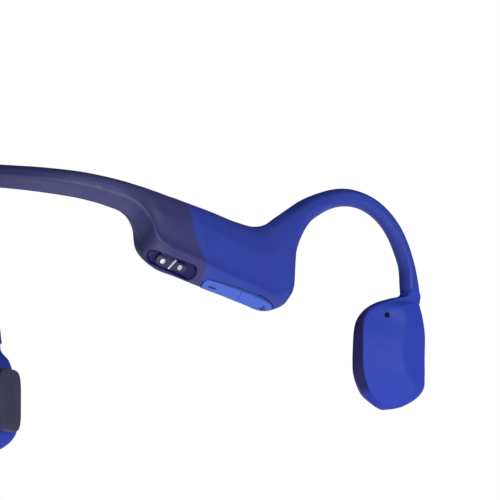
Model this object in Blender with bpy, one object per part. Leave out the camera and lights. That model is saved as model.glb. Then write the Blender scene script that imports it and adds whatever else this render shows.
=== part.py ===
"""Bone conduction headphones: a neckband with an ear hook, a control housing and a transducer pod on each side.

Frame: metres, +Z up, the wearer faces -Y and the wearer's right side is at -X. The origin is under the middle of the
headphones, at the height of the lowest points of the pods.

The outer bodies are lofted in an unrolled frame first: U runs forward along the band from the middle of the neck, Z is
up, and T is the distance outward from the band's middle surface. Each solid is then wrapped onto the plan curve.
"""
import math

import bmesh
import bpy
import numpy as np
from mathutils import Vector

# ---------------------------------------------------------------- driving dimensions, mm
BACK_RADIUS = 54.0       # plan radius of the band round the neck
TOE_OUT = 3.0            # degrees by which each arm opens toward the pods
ARM_RUN = 90.0           # length of arm after the round back
BACK_Y = 64.0            # the band's middle surface at the neck
FLEX_U = 26.0            # where each arm is taken to flex
FLEX_GAP = 0.8           # gap at the flex point
FIT = 0.3                # clearance between touching pieces
WALL = 1.2               # housing wall
POD_WALL = 1.1
BAND_CORE_R = 0.5        # titanium wire
WIRE_R = 0.35            # bundle of conductors beside it
BUTTON_TRAVEL = 0.35
LIFT = -0.1              # height of the pods' lowest points

# rungs of the hook-and-housing ladder: (top or front edge U, Z), (bottom or rear edge U, Z)
RUNGS = [
    ((0.0, 42.0), (0.0, 36.8)),
    ((26.0, 41.8), (26.0, 36.6)),
    ((44.0, 41.1), (44.0, 35.9)),
    ((52.0, 40.6), (52.0, 35.3)),
    ((60.0, 40.1), (60.0, 34.5)),
    ((66.0, 39.3), (65.6, 33.4)),
    ((69.5, 38.8), (69.0, 32.3)),
    ((72.0, 38.4), (71.2, 30.2)),
    ((74.5, 38.0), (72.6, 27.2)),
    ((77.5, 37.5), (73.8, 23.9)),
    ((80.5, 37.1), (77.4, 21.5)),
    ((83.5, 36.6), (84.0, 20.4)),
    ((86.2, 36.2), (91.6, 19.3)),      # seam between the rear boot and the housing
    ((94.5, 35.0), (99.5, 18.2)),
    ((103.0, 33.8), (106.5, 17.1)),
    ((108.5, 33.6), (111.5, 16.4)),
    ((112.0, 34.5), (115.5, 16.9)),
    ((115.6, 36.5), (119.3, 19.0)),
    ((118.8, 38.3), (121.3, 22.2)),
    ((121.6, 39.8), (122.4, 26.4)),
    ((124.4, 41.2), (123.3, 30.8)),
    ((127.6, 42.6), (125.1, 34.8)),
]
SEAM = 12
HOOK_START = 19          # the housing's shells end here and the hook's sleeve begins
# the hook's centre line and width
HOOK = [
    (130.0, 41.0, 5.0),
    (133.6, 42.4, 4.25),
    (137.6, 43.25, 3.85),
    (141.9, 43.3, 3.7),
    (146.3, 42.5, 3.6),
    (150.7, 40.4, 3.55),
    (153.8, 37.7, 3.55),
    (156.1, 34.6, 3.6),
    (157.8, 30.9, 3.65),
    (158.7, 27.3, 3.7),
    (159.0, 24.9, 3.7),
]
# rungs of the pod: (front edge U, Z), (rear edge U, Z)
POD = [
    ((160.6, 24.3), (155.6, 24.5)),
    ((160.7, 22.6), (152.8, 23.6)),
    ((160.8, 20.8), (149.6, 22.5)),
    ((160.9, 18.6), (146.8, 20.8)),
    ((161.0, 16.0), (145.1, 18.7)),
    ((161.0, 13.4), (144.3, 16.2)),
    ((161.0, 10.5), (144.0, 12.0)),
    ((161.0, 7.6), (144.1, 8.2)),
    ((160.8, 4.9), (144.9, 5.4)),
    ((159.4, 2.9), (146.6, 2.9)),
    ((157.6, 1.6), (148.6, 1.3)),
    ((155.6, 0.7), (150.4, 0.45)),
    ((153.9, 0.2), (152.2, 0.1)),
]
# section corners of the ladder: place along the rung from its bottom edge, outward offset, corner radius
# order: bottom tip, crease, middle of face, top shoulder, top tip, inner shoulder, inner bottom
BAND_SEC = ((0, 0.2, 0.6), (2.7, 1.9, 0.7), (-2.0, 1.75, 0.3), (-0.9, 1.5, 0.7), (-0.0, 0.2, 0.5), (-0.9, -1.5, 0.8), (0.9, -1.5, 0.8))
BOOT_SEC = ((0, 0.2, 0.9), (4.1, 4.2, 1.0), (-5.0, 3.4, 0.5), (-1.6, 2.4, 1.6), (-0.0, 0.5, 0.8), (-2.0, -2.4, 2.2), (2.4, -3.4, 2.2))
HOUSE_SEC = ((0, 0.3, 0.9), (4.0, 4.3, 1.2), (-6.0, 3.5, 0.5), (-1.7, 2.5, 1.7), (-0.0, 0.6, 0.8), (-2.1, -2.6, 2.2), (2.4, -3.7, 2.2))
ROOT_SEC = ((0, 0.1, 1.2), (2.0, 2.8, 1.6), (-3.4, 2.8, 0.8), (-1.2, 2.2, 1.2), (-0.0, 0.2, 1.0), (-1.4, -2.2, 1.6), (1.6, -2.6, 1.6))
TUBE_SEC = ((0, 0.0, 1.0), (1.05, 1.85, 1.1), (-1.85, 1.85, 0.1), (-1.05, 1.85, 1.1), (-0.0, 0.0, 1.0), (-1.05, -1.85, 1.1), (1.05, -1.85, 1.1))
POD_TOP = ((0, -0.6, 0.8), (0.7, 1.3, 0.8), (-2.1, 2.2, 0.5), (-0.9, 2.0, 0.7), (-0.0, 0.4, 0.8), (-1.2, -2.0, 1.0), (1.1, -1.9, 1.0))
POD_SHO = ((0, -2.2, 0.7), (0.5, 0.2, 0.7), (-7.0, 2.7, 0.7), (-0.7, 2.0, 0.7), (-0.0, 0.4, 0.8), (-2.2, -5.2, 1.3), (2.6, -5.6, 1.3))
POD_MID = ((0, -3.0, 0.6), (0.5, -0.5, 0.7), (-7.8, 2.7, 0.9), (-0.7, 2.0, 0.8), (-0.0, 0.4, 0.8), (-2.5, -6.6, 1.4), (4.6, -7.0, 1.4))
POD_END = ((0, -2.2, 0.4), (0.3, -0.6, 0.4), (-0.9, 0.6, 0.4), (-0.3, 0.4, 0.4), (-0.0, -0.6, 0.4), (-0.3, -3.0, 0.4), (0.3, -3.0, 0.4))
SECTIONS = [(0, BAND_SEC), (5, BAND_SEC), (9.5, BOOT_SEC), (12, BOOT_SEC), (14, HOUSE_SEC), (17, HOUSE_SEC), (20, ROOT_SEC), (24, TUBE_SEC), (32, TUBE_SEC)]
POD_SECTIONS = [(0, POD_TOP), (1.2, POD_TOP), (3.4, POD_SHO), (6, POD_MID), (9, POD_MID), (12, POD_END)]

MM = 0.001


# ---------------------------------------------------------------- plan curve
def smoothstep(x):
    x = np.clip(x, 0.0, 1.0)
    return x * x * (3 - 2 * x)


def plan_tables():
    """Heading and place along the arm: a round back whose curvature fades out, then an arm that opens slightly."""
    arc = math.pi / 2 * BACK_RADIUS
    u = np.linspace(0.0, arc + ARM_RUN, 3501)
    fade = 1 - smoothstep((u - (arc - 14)) / 28)
    toe = smoothstep((u - arc) / 14) * (1 - smoothstep((u - (arc + 36)) / 14))
    bend = fade / BACK_RADIUS - toe * math.radians(TOE_OUT) / 36
    step = u[1] - u[0]
    heading = np.concatenate([[0], np.cumsum((bend[1:] + bend[:-1]) / 2 * step)])
    dx, dy = -np.cos(heading), -np.sin(heading)
    x = np.concatenate([[0], np.cumsum((dx[1:] + dx[:-1]) / 2 * step)])
    y = BACK_Y + np.concatenate([[0], np.cumsum((dy[1:] + dy[:-1]) / 2 * step)])
    return u, heading, x, y


PLAN_U, PLAN_A, PLAN_X, PLAN_Y = plan_tables()


def wrap(points, side):
    """Unrolled (u, inward, z) in mm to world metres; side -1 is the wearer's right, +1 the left."""
    points = np.asarray(points, float)
    u, inward, z = points[:, 0], points[:, 1], points[:, 2]
    sign = np.where(u < 0, -1.0, 1.0)
    au = np.abs(u)
    a = np.interp(au, PLAN_U, PLAN_A)
    x = np.interp(au, PLAN_U, PLAN_X)
    y = np.interp(au, PLAN_U, PLAN_Y)
    x = (x + np.sin(a) * inward) * sign
    y = y - np.cos(a) * inward
    return np.stack([-side * x, y, z + LIFT], axis=1) * MM


# ---------------------------------------------------------------- smooth interpolation
def tangents(keys, values):
    """Slopes of a curve through the keys, weighted for uneven spacing."""
    d = np.diff(values, axis=0) / np.diff(keys)[:, None]
    m = np.empty_like(values)
    m[0], m[-1] = d[0], d[-1]
    h = np.diff(keys)[:, None]
    m[1:-1] = (d[:-1] * h[1:] + d[1:] * h[:-1]) / (h[:-1] + h[1:])
    return m


def hermite(keys, values, at):
    keys, values = np.asarray(keys, float), np.asarray(values, float)
    m = tangents(keys, values)
    i = np.clip(np.searchsorted(keys, at, side="right") - 1, 0, len(keys) - 2)
    h = (keys[i + 1] - keys[i])[:, None]
    x = ((at - keys[i]))[:, None] / h
    return (
        (2 * x**3 - 3 * x**2 + 1) * values[i]
        + (x**3 - 2 * x**2 + x) * h * m[i]
        + (-2 * x**3 + 3 * x**2) * values[i + 1]
        + (x**3 - x**2) * h * m[i + 1]
    )


class Ladder:
    """A body whose section sits on rungs that run from one edge of its outline to the other."""

    def __init__(self, rungs, sections):
        self.far = np.array([r[0] for r in rungs], float)
        self.near = np.array([r[1] for r in rungs], float)
        middle = (self.far + self.near) / 2
        self.keys = np.concatenate([[0], np.cumsum(np.hypot(*np.diff(middle, axis=0).T))])
        self.sections = sections

    def place(self, rung):
        """Arc length of a rung number."""
        return np.interp(rung, np.arange(len(self.keys)), self.keys)

    def edges(self, rung):
        at = np.atleast_1d(self.place(rung))
        return hermite(self.keys, self.far, at)[0], hermite(self.keys, self.near, at)[0]

    def corners(self, rung):
        """The section's corners as (along the rung, outward, radius)."""
        far, near = self.edges(rung)
        width = float(np.hypot(*(far - near)))
        keys = [s[0] for s in self.sections]
        i = int(np.clip(np.searchsorted(keys, rung, side="right") - 1, 0, len(keys) - 2))
        f = float(smoothstep((rung - keys[i]) / (keys[i + 1] - keys[i])))
        found = []
        for k in range(7):
            pair = []
            for sec in (self.sections[i][1], self.sections[i + 1][1]):
                w, t, r = sec[k]
                from_far = k in (2, 3, 4, 5)
                pair.append((width + w if from_far else w, t, r))
            found.append(tuple((1 - f) * a + f * b for a, b in zip(*pair)))
        return width, found

    def section(self, rung, per_corner=2, inset=0.0):
        """Closed loop of (along, outward) points, each corner rounded by a short curve."""
        width, c = self.corners(rung)
        n = len(c)
        loop = []
        for k in range(n):
            p = np.array(c[k][:2])
            before, after = np.array(c[k - 1][:2]), np.array(c[(k + 1) % n][:2])
            la, lb = np.hypot(*(before - p)), np.hypot(*(after - p))
            ra, rb = min(c[k][2], 0.48 * la), min(c[k][2], 0.48 * lb)
            a = p + (before - p) / la * ra
            b = p + (after - p) / lb * rb
            for q in np.linspace(0, 1, per_corner):
                loop.append((1 - q) ** 2 * a + 2 * q * (1 - q) * p + q * q * b)
        loop = np.array(loop)
        if inset:
            low, high = loop.min(0), loop.max(0)
            mid, size = (low + high) / 2, high - low
            loop = mid + (loop - mid) * np.maximum(size - 2 * inset, 0.3) / size
        return loop

    def to_flat(self, rung, loop):
        """(along, outward) on a rung to unrolled (u, inward, z)."""
        far, near = self.edges(rung)
        way = (far - near) / np.hypot(*(far - near))
        loop = np.asarray(loop, float)
        return np.stack([near[0] + way[0] * loop[:, 0], -loop[:, 1], near[1] + way[1] * loop[:, 0]], axis=1)


def hook_rungs():
    """The hook's outline edges, from its centre line and width."""
    c = np.array([h[:2] for h in HOOK])
    way = np.gradient(c, axis=0)
    way /= np.hypot(*way.T)[:, None]
    side = np.stack([-way[:, 1], way[:, 0]], axis=1)   # to the outside of the bend
    half = np.array([h[2] for h in HOOK])[:, None] / 2
    return [(tuple(a), tuple(b)) for a, b in zip(c + side * half, c - side * half)]


ARM = Ladder(RUNGS + hook_rungs(), SECTIONS)
PODL = Ladder(POD, POD_SECTIONS)
HOOK_END = len(RUNGS) + len(HOOK) - 1


# ---------------------------------------------------------------- mesh helpers (all in the unrolled frame, mm)
def bm_loft(loops, closed_ends=True):
    bm = bmesh.new()
    rings = [[bm.verts.new(p) for p in loop] for loop in loops]
    n = len(rings[0])
    for a, b in zip(rings, rings[1:]):
        for k in range(n):
            bm.faces.new((a[k], a[(k + 1) % n], b[(k + 1) % n], b[k]))
    if closed_ends:
        bm.faces.new(rings[0][::-1])
        bm.faces.new(rings[-1])
    bmesh.ops.recalc_face_normals(bm, faces=bm.faces)
    return bm


def bm_tube(outer, inner):
    """A hollow loft: outer and inner loops with the same count, joined by a ring at each end."""
    bm = bmesh.new()
    n = len(outer[0])
    o = [[bm.verts.new(p) for p in loop] for loop in outer]
    i = [[bm.verts.new(p) for p in loop] for loop in inner]
    for rings in (o, i):
        for a, b in zip(rings, rings[1:]):
            for k in range(n):
                bm.faces.new((a[k], a[(k + 1) % n], b[(k + 1) % n], b[k]))
    for a, b in ((o[0], i[0]), (o[-1], i[-1])):
        for k in range(n):
            bm.faces.new((a[k], a[(k + 1) % n], b[(k + 1) % n], b[k]))
    bmesh.ops.recalc_face_normals(bm, faces=bm.faces)
    return bm


def bm_box(lo, hi, bevel=0.0):
    bm = bmesh.new()
    bmesh.ops.create_cube(bm, size=1.0)
    for v in bm.verts:
        v.co = Vector([lo[k] + (v.co[k] + 0.5) * (hi[k] - lo[k]) for k in range(3)])
    if bevel:
        bmesh.ops.bevel(bm, geom=bm.edges[:], offset=bevel, segments=1, profile=0.5, affect="EDGES")
    bmesh.ops.recalc_face_normals(bm, faces=bm.faces)
    return bm


def bm_cylinder(centre, axis, radius, length, sides=12):
    bm = bmesh.new()
    bmesh.ops.create_cone(bm, cap_ends=True, segments=sides, radius1=radius, radius2=radius, depth=length)
    turn = Vector((0, 0, 1)).rotation_difference(Vector(axis)).to_matrix()
    for v in bm.verts:
        v.co = turn @ v.co + Vector(centre)
    bmesh.ops.recalc_face_normals(bm, faces=bm.faces)
    return bm


def to_mesh(bm, name="helper"):
    mesh = bpy.data.meshes.new(name)
    bm.to_mesh(mesh)
    bm.free()
    return mesh


def boolean(bm, cutters, operation="DIFFERENCE"):
    """Applies cutters one after another and gives the result as a new bmesh."""
    scene = bpy.context.scene.collection
    base = bpy.data.objects.new("base", to_mesh(bm))
    scene.objects.link(base)
    helpers = []
    for cutter in cutters:
        helper = bpy.data.objects.new("cutter", to_mesh(cutter))
        helper.hide_render = True
        helper.display_type = "WIRE"
        scene.objects.link(helper)
        helpers.append(helper)
        mod = base.modifiers.new("cut", "BOOLEAN")
        mod.operation = operation
        mod.solver = "EXACT"
        mod.object = helper
    bpy.context.view_layer.update()
    graph = bpy.context.evaluated_depsgraph_get()
    result = bmesh.new()
    result.from_mesh(base.evaluated_get(graph).to_mesh())
    for obj in [base] + helpers:
        mesh = obj.data
        bpy.data.objects.remove(obj)
        bpy.data.meshes.remove(mesh)
    bmesh.ops.remove_doubles(result, verts=result.verts, dist=1e-4)
    bmesh.ops.dissolve_degenerate(result, dist=1e-4, edges=result.edges)
    return result


MATERIALS = {}


def material(name, color, roughness, metallic=0.0):
    if name not in MATERIALS:
        m = bpy.data.materials.new(name)
        m.use_nodes = True
        shader = m.node_tree.nodes["Principled BSDF"]
        shader.inputs["Base Color"].default_value = (*color, 1)
        shader.inputs["Roughness"].default_value = roughness
        shader.inputs["Metallic"].default_value = metallic
        m.diffuse_color = (*color, 1)
        MATERIALS[name] = m
    return MATERIALS[name]


NAVY = ("navy_silicone", (0.045, 0.045, 0.10), 0.5)
BLUE = ("blue_silicone", (0.035, 0.06, 0.33), 0.45)
BRIGHT = ("button_blue", (0.06, 0.12, 0.55), 0.4)
GLOSSY = ("port_gloss", (0.006, 0.004, 0.03), 0.12)
STEEL = ("contact_plate", (0.75, 0.76, 0.80), 0.22, 1.0)
TITAN = ("titanium", (0.42, 0.41, 0.40), 0.35, 1.0)
BOARD = ("circuit_board", (0.01, 0.12, 0.05), 0.45)
DARK = ("black_nylon", (0.015, 0.015, 0.018), 0.5)
COPPER = ("copper", (0.72, 0.28, 0.13), 0.3, 1.0)
FOIL = ("battery_foil", (0.55, 0.56, 0.58), 0.35, 0.8)
PAD = ("pad_silicone", (0.03, 0.03, 0.05), 0.55)
WIRE = ("wire_jacket", (0.20, 0.02, 0.02), 0.4)

AXES = {}


def axis_empty(name, at_m):
    empty = bpy.data.objects.new(name, None)
    empty.empty_display_size = 0.01
    empty.location = at_m
    bpy.context.scene.collection.objects.link(empty)
    AXES[name] = empty
    return empty


def to_world(bm, side, at):
    """Wraps the solid; the left side is a mirror image, so its faces are turned round."""
    bmesh.ops.recalc_face_normals(bm, faces=bm.faces)
    world = wrap(np.array([v.co[:] for v in bm.verts]), side)
    for v, p in zip(bm.verts, world):
        v.co = Vector(p) - at
    if side > 0:
        bmesh.ops.reverse_faces(bm, faces=bm.faces)


def finish(bm, name, look, side=-1, axis=None, slices=0.0, smooth=True):
    """Wraps an unrolled solid onto the arm and links it under its axis empty."""
    if slices:
        us = [v.co.x for v in bm.verts]
        for cut in np.arange(math.floor(min(us) / slices) * slices + slices, max(us), slices):
            geom = bm.verts[:] + bm.edges[:] + bm.faces[:]
            bmesh.ops.bisect_plane(bm, geom=geom, dist=1e-5, plane_co=(cut, 0, 0), plane_no=(1, 0, 0))
    bmesh.ops.triangulate(bm, faces=[f for f in bm.faces if len(f.verts) > 3])
    at = Vector(AXES[axis].location) if axis else Vector((0, 0, 0))
    to_world(bm, side, at)
    mesh = bpy.data.meshes.new(name)
    bm.to_mesh(mesh)
    bm.free()
    obj = bpy.data.objects.new(name, mesh)
    bpy.context.scene.collection.objects.link(obj)
    if axis:
        obj.parent = AXES[axis]
    mesh.materials.append(material(*look))
    if smooth:
        mesh.shade_smooth()
        mesh.set_sharp_from_angle(angle=math.radians(35))
    return obj


def rungs_between(a, b, fine=1.0):
    """Rung numbers from a to b, with every whole rung between them."""
    n = max(1, math.ceil((b - a) * fine))
    return list(np.linspace(a, b, n + 1))


def loft(ladder, rungs, inset=0.0, per_corner=2):
    return bm_loft([ladder.to_flat(r, ladder.section(r, per_corner, inset)) for r in rungs])


def channel_loops(rungs, along, across, shift=0.0, sides=14, turn=0.0):
    """Elliptic loops round the middle of the section."""
    loops = []
    for r in rungs:
        width, _ = ARM.corners(r)
        a = np.linspace(0, 2 * math.pi, sides, endpoint=False) + turn
        loops.append(ARM.to_flat(r, np.stack([width / 2 + shift + along * np.cos(a), across * np.sin(a)], axis=1)))
    return loops


def sleeve(rungs, along, across):
    """A sleeve of the ladder's section round a channel."""
    outer = [ARM.to_flat(r, ARM.section(r)) for r in rungs]
    inner = []
    for r, loop in zip(rungs, outer):
        width, _ = ARM.corners(r)
        flat = ARM.section(r)
        mid = np.array([width / 2, 0.0])
        a = np.arctan2((flat[:, 1] - mid[1]), (flat[:, 0] - mid[0]))
        inner.append(ARM.to_flat(r, mid + np.stack([along * np.cos(a), across * np.sin(a)], axis=1)))
    return bm_tube(outer, inner)


# ---------------------------------------------------------------- bevel that carries the port and the buttons
def bevel_frame(rung, fraction):
    """On the lower bevel, at a fraction of the way from the bottom tip to the crease: place and directions."""
    _, c = ARM.corners(rung)
    tip, crease = np.array(c[0][:2]), np.array(c[1][:2])
    along = (crease - tip) / np.hypot(*(crease - tip))
    normal = np.array([-along[1], along[0]])          # outward and down
    return tip + (crease - tip) * fraction, along, normal, float(np.hypot(*(crease - tip)))


def bevel_strip(ra, rb, low, high, proud, deep, steps, round_ends=0.0):
    """A strip that follows the bevel: between two fractions of its height, from proud of it to deep in it."""
    loops = []
    for q in np.linspace(0, 1, steps):
        r = ra + (rb - ra) * q
        _, along, normal, length = bevel_frame(r, 0)
        tip, _, _, _ = bevel_frame(r, 0)
        a, b = low * length, high * length
        if round_ends:
            # a pill: the strip narrows over its ends
            ends = min(1.0, min(q, 1 - q) / round_ends)
            keep = math.sqrt(max(0.0, 1 - (1 - ends) ** 2))
            keep = 0.35 + 0.65 * keep
            mid = (a + b) / 2
            a, b = mid + (a - mid) * keep, mid + (b - mid) * keep
        loop = [tip + along * a + normal * proud, tip + along * b + normal * proud,
                tip + along * b - normal * deep, tip + along * a - normal * deep]
        loops.append(ARM.to_flat(r, loop))
    return bm_loft(loops)


def bevel_normal_flat(rung, fraction=0.5):
    """The bevel's outward normal and place, in the unrolled frame."""
    at, along, normal, length = bevel_frame(rung, fraction)
    base = ARM.to_flat(rung, [at])[0]
    tip = ARM.to_flat(rung, [at + normal])[0]
    up = ARM.to_flat(rung, [at + along])[0]
    return base, tip - base, up - base


def wrap_direction(base, way, side):
    p = wrap([base, base + way * 0.01], side)
    d = p[1] - p[0]
    return d / np.linalg.norm(d), p[0]


# ---------------------------------------------------------------- build
def clear_scene():
    for obj in list(bpy.data.objects):
        bpy.data.objects.remove(obj)


BUTTON_A, BUTTON_M, BUTTON_B = 12.12, 13.55, 15.75       # rungs at which the buttons start, meet and end
MF_AT = (148.9, -1.35, 11.2)                            # centre of the multifunction button's face
MF_R = 3.4
PORT_A, PORT_B = 9.5, 11.4                            # rungs at the ends of the port's recess


def build_neckband():
    gap = FLEX_GAP / 2 / 26.0                            # in rungs: the first rung is 26 mm long
    # centre piece spans both sides of the neck
    rungs = [1 - gap, 0.8, 0.6, 0.4, 0.2]
    for name, look, make in (
        ("neckband_center_sleeve", NAVY, "sleeve"),
        ("neckband_center_wire", TITAN, "core"),
        ("neckband_center_conductors", WIRE, "leads"),
    ):
        loops_out, loops_in = [], []
        for r in rungs + [0.0] + [-x for x in rungs[::-1]]:
            at = abs(r)
            if make == "sleeve":
                sec = ARM.section(at)
                width, _ = ARM.corners(at)
                flat = ARM.to_flat(at, sec)
                a = np.arctan2(sec[:, 1], sec[:, 0] - width / 2)
                chan = ARM.to_flat(at, np.stack([width / 2 + 1.5 * np.cos(a), 1.0 * np.sin(a)], axis=1))
            else:
                width, _ = ARM.corners(at)
                shift, radius = (0.45, BAND_CORE_R) if make == "core" else (-0.5, WIRE_R)
                a = np.linspace(0, 2 * math.pi, 6, endpoint=False)
                flat = ARM.to_flat(at, np.stack([width / 2 + shift + radius * np.cos(a), radius * np.sin(a)], axis=1))
                chan = flat
            if r < 0:
                flat, chan = flat * [-1, 1, 1], chan * [-1, 1, 1]
            loops_out.append(flat)
            loops_in.append(chan)
        bm = bm_tube(loops_out, loops_in) if make == "sleeve" else bm_loft(loops_out)
        finish(bm, name, look)


def build_side(side):
    word = "right" if side < 0 else "left"
    arm = f"{word}_arm_axis"
    at = wrap([(FLEX_U, 0, 39.2)], side)[0]
    axis_empty(arm, at)

    def put(bm, name, look, slices=0.0, axis=arm, smooth=True):
        return finish(bm, name, look, side, axis, slices, smooth)

    gap = FLEX_GAP / 2
    first = 1 + gap / 18.0
    fit = 0.1                                            # in rungs, about 0.3 mm at the housing

    # neckband arm: sleeve, titanium wire, conductors
    band = [first, 1.5, 2, 2.5, 3, 4, 5, 5.8]
    put(sleeve(band, 1.5, 1.0), f"neckband_{word}_sleeve", NAVY)
    full = [first, 1.5, 2, 2.5, 3, 4, 5, 6, 7, 7.6]
    put(bm_loft(channel_loops(full, BAND_CORE_R, BAND_CORE_R, 0.45, 6)), f"neckband_{word}_wire", TITAN)
    put(bm_loft(channel_loops(full, WIRE_R, WIRE_R, -0.5, 6)), f"neckband_{word}_conductors", WIRE)

    # rear boot, with the wire channel, and on the right the charging recess
    boot_rungs = [5.9, 6.5, 7, 7.5, 8, 8.5, 9, 9.5, 10, 10.5, 11, 11.5, SEAM - 0.02]
    boot = loft(ARM, boot_rungs)
    cavity_r = [9.4, 10, 10.5, 11, 11.5, 12.5]
    cavity = bm_loft([ARM.to_flat(r, ARM.section(r, 2, 1.9)) for r in cavity_r])
    chan = bm_loft(channel_loops([5.5, 6, 6.5, 7, 7.5, 8, 8.5, 9, 9.7], 1.3, 1.0, 0.0, 8))
    cutters = [cavity, chan]
    if side < 0:
        cutters.append(bevel_strip(PORT_A, PORT_B, 0.12, 0.92, 2.5, 0.9, 9, 0.28))
    put(boolean(boot, cutters), f"{word}_rear_boot", NAVY)

    # housing shells: outer and inner, split on the middle surface
    house_rungs = rungs_between(SEAM + 0.03, HOOK_START)
    solid = loft(ARM, house_rungs)
    hollow_r = [SEAM - 0.3, SEAM + 0.5] + list(range(13, 19))
    hollow = bm_loft([ARM.to_flat(r, ARM.section(r, 2, WALL)) for r in hollow_r])
    keep_out = bm_box((60, -20, 0), (140, -0.45, 60))
    keep_in = bm_box((60, -0.15, 0), (140, 20, 60))
    exit_hole = bm_loft(channel_loops([17.6, 18, 18.5, 19, 19.4], 1.35, 1.05, 0.0, 8))
    shell = boolean(solid, [hollow, exit_hole])
    copy = shell.copy()
    outer = boolean(shell, [keep_out], "INTERSECT")
    inner = boolean(copy, [keep_in], "INTERSECT")
    if side < 0:
        outer = boolean(outer, [bevel_strip(BUTTON_A - 0.05, BUTTON_B + 0.05, 0.14, 0.94, 2.5, 2.6, 9)])
    put(outer, f"{word}_housing_outer_shell", BLUE, 5.0)
    put(inner, f"{word}_housing_inner_cover", BLUE, 5.0)

    # hook: sleeve, titanium wire, conductors
    hook = [HOOK_START + 0.1] + rungs_between(HOOK_START + 1, HOOK_END)
    put(sleeve(hook, 1.35, 1.05), f"{word}_hook_sleeve", BLUE)
    core = [HOOK_START - 0.8, HOOK_START - 0.4] + rungs_between(HOOK_START + 0.2, HOOK_END)
    put(bm_loft(channel_loops(core, BAND_CORE_R, BAND_CORE_R, 0.45, 6)), f"{word}_hook_wire", TITAN)
    put(bm_loft(channel_loops(core, WIRE_R, WIRE_R, -0.5, 6)), f"{word}_hook_conductors", WIRE)

    # pod shells
    pod_rungs = [0, 0.6, 1.2, 2, 3, 4, 5, 6, 7, 8, 9, 10, 11, 12]
    pod = loft(PODL, pod_rungs)
    hollow = bm_loft([PODL.to_flat(r, PODL.section(r, 2, POD_WALL)) for r in (1.5, 2, 3, 4, 5, 6, 7, 8, 9, 9.8)])
    shell = boolean(pod, [hollow])
    copy = shell.copy()
    outer = boolean(shell, [bm_box((130, -20, -5), (175, 3.0, 40))], "INTERSECT")
    inner = boolean(copy, [bm_box((130, 3.3, -5), (175, 20, 40))], "INTERSECT")
    # hook enters at the top; the face's normal leans back by the main facet's tilt
    lean = math.radians(20)
    face = np.array((-math.sin(lean), -math.cos(lean), 0.0))
    hole = [bm_cylinder((158.9, 0.0, 24.3), (0.08, 0, -1), 1.5, 6.0, 8)]
    mic = bm_cylinder((148.1, -0.8, 18.6), tuple(face), 0.5, 6.0, 8)
    if side < 0:
        outer = boolean(outer, hole + [mic])
    else:
        outer = boolean(outer, hole + [mic, bm_cylinder(tuple(np.array(MF_AT) + face * 1.0), tuple(face), MF_R + 0.35, 5.0, 20)])
    inner = boolean(inner, [bm_box((150.6, 5.0, 6.5), (156.4, 9.0, 16.5))])
    put(outer, f"{word}_pod_outer_shell", BLUE)
    put(inner, f"{word}_pod_inner_shell", BLUE)

    # skin pad over the inner shell's window
    pad = bm_box((149.0, 7.35, 4.2), (157.9, 8.6, 18.3))
    edges = [e for e in pad.edges if abs((e.verts[0].co - e.verts[1].co).y) > 0.5]
    bmesh.ops.bevel(pad, geom=edges, offset=2.2, segments=3, profile=0.5, affect="EDGES")
    put(pad, f"{word}_skin_pad", PAD)

    # transducer: yoke, magnet, voice coil, vibrating spring plate
    cu, cz = 152.9, 10.8
    yoke = bm_box((cu - 4.3, 1.7, cz - 5.8), (cu + 4.3, 4.3, cz + 5.8))
    well = bm_box((cu - 3.6, 2.4, cz - 5.1), (cu + 3.6, 5.5, cz + 5.1))
    put(boolean(yoke, [well]), f"{word}_transducer_yoke", STEEL)
    put(bm_box((cu - 1.8, 2.7, cz - 3.2), (cu + 1.8, 4.2, cz + 3.2)), f"{word}_transducer_magnet", FOIL)
    coil = bm_box((cu - 3.1, 3.0, cz - 4.5), (cu + 3.1, 4.65, cz + 4.5))
    coil_hole = bm_box((cu - 2.3, 1.0, cz - 3.7), (cu + 2.3, 6.0, cz + 3.7))
    put(boolean(coil, [coil_hole]), f"{word}_voice_coil", COPPER)
    spring = bm_box((cu - 3.4, 4.95, cz - 5.2), (cu + 3.4, 5.25, cz + 3.6))
    slots = [bm_box((cu + k * 2.8 - 0.3, 4.5, cz - 4.4), (cu + k * 2.8 + 0.3, 6.5, cz + 2.8)) for k in (-1, 1)]
    put(boolean(spring, slots), f"{word}_vibration_spring", STEEL)

    # microphone behind its port, on the outer face
    put(bm_box((147.2, 1.1, 17.4), (149.2, 1.9, 19.2)), f"{word}_microphone", FOIL)

    if side < 0:
        # main board, its shield and antenna
        put(bm_box((96.0, 0.2, 22.0), (111.5, 1.0, 30.6)), "main_board", BOARD)
        put(bm_box((98.0, -1.5, 23.6), (107.0, -0.1, 29.8)), "board_shield", FOIL)
        put(bm_box((108.4, -0.9, 23.0), (110.6, -0.1, 29.6)), "antenna", COPPER)
        # volume buttons with their switches on a narrow board
        for word2, a, b, axis in (("volume_down", BUTTON_A, BUTTON_M, "volume_down_axis"), ("volume_up", BUTTON_M, BUTTON_B, "volume_up_axis")):
            mid = (a + b) / 2
            base, way, _ = bevel_normal_flat(mid)
            d, p = wrap_direction(base, way, side)
            axis_empty(axis, p)
            AXES[axis].parent = AXES[arm]
            AXES[axis].location = Vector(p) - Vector(AXES[arm].location)
            cap = bevel_strip(a + (0.05 if word2 == "volume_down" else 0.035), b - (0.035 if word2 == "volume_down" else 0.05), 0.22, 0.86, 0.25, 1.0, 5)
            button(cap, f"{word2}_button", BRIGHT, side, p)
            sw = bevel_strip(mid - 0.25, mid + 0.25, 0.36, 0.72, -1.5, 2.0, 2)
            put(sw, f"{word2}_switch", FOIL)
            print(word2, "axis", (-d).round(4), "at", p.round(5))
        put(bevel_strip(12.45, 15.4, 0.30, 0.78, -2.3, 2.7, 6), "button_board", BOARD)
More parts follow.
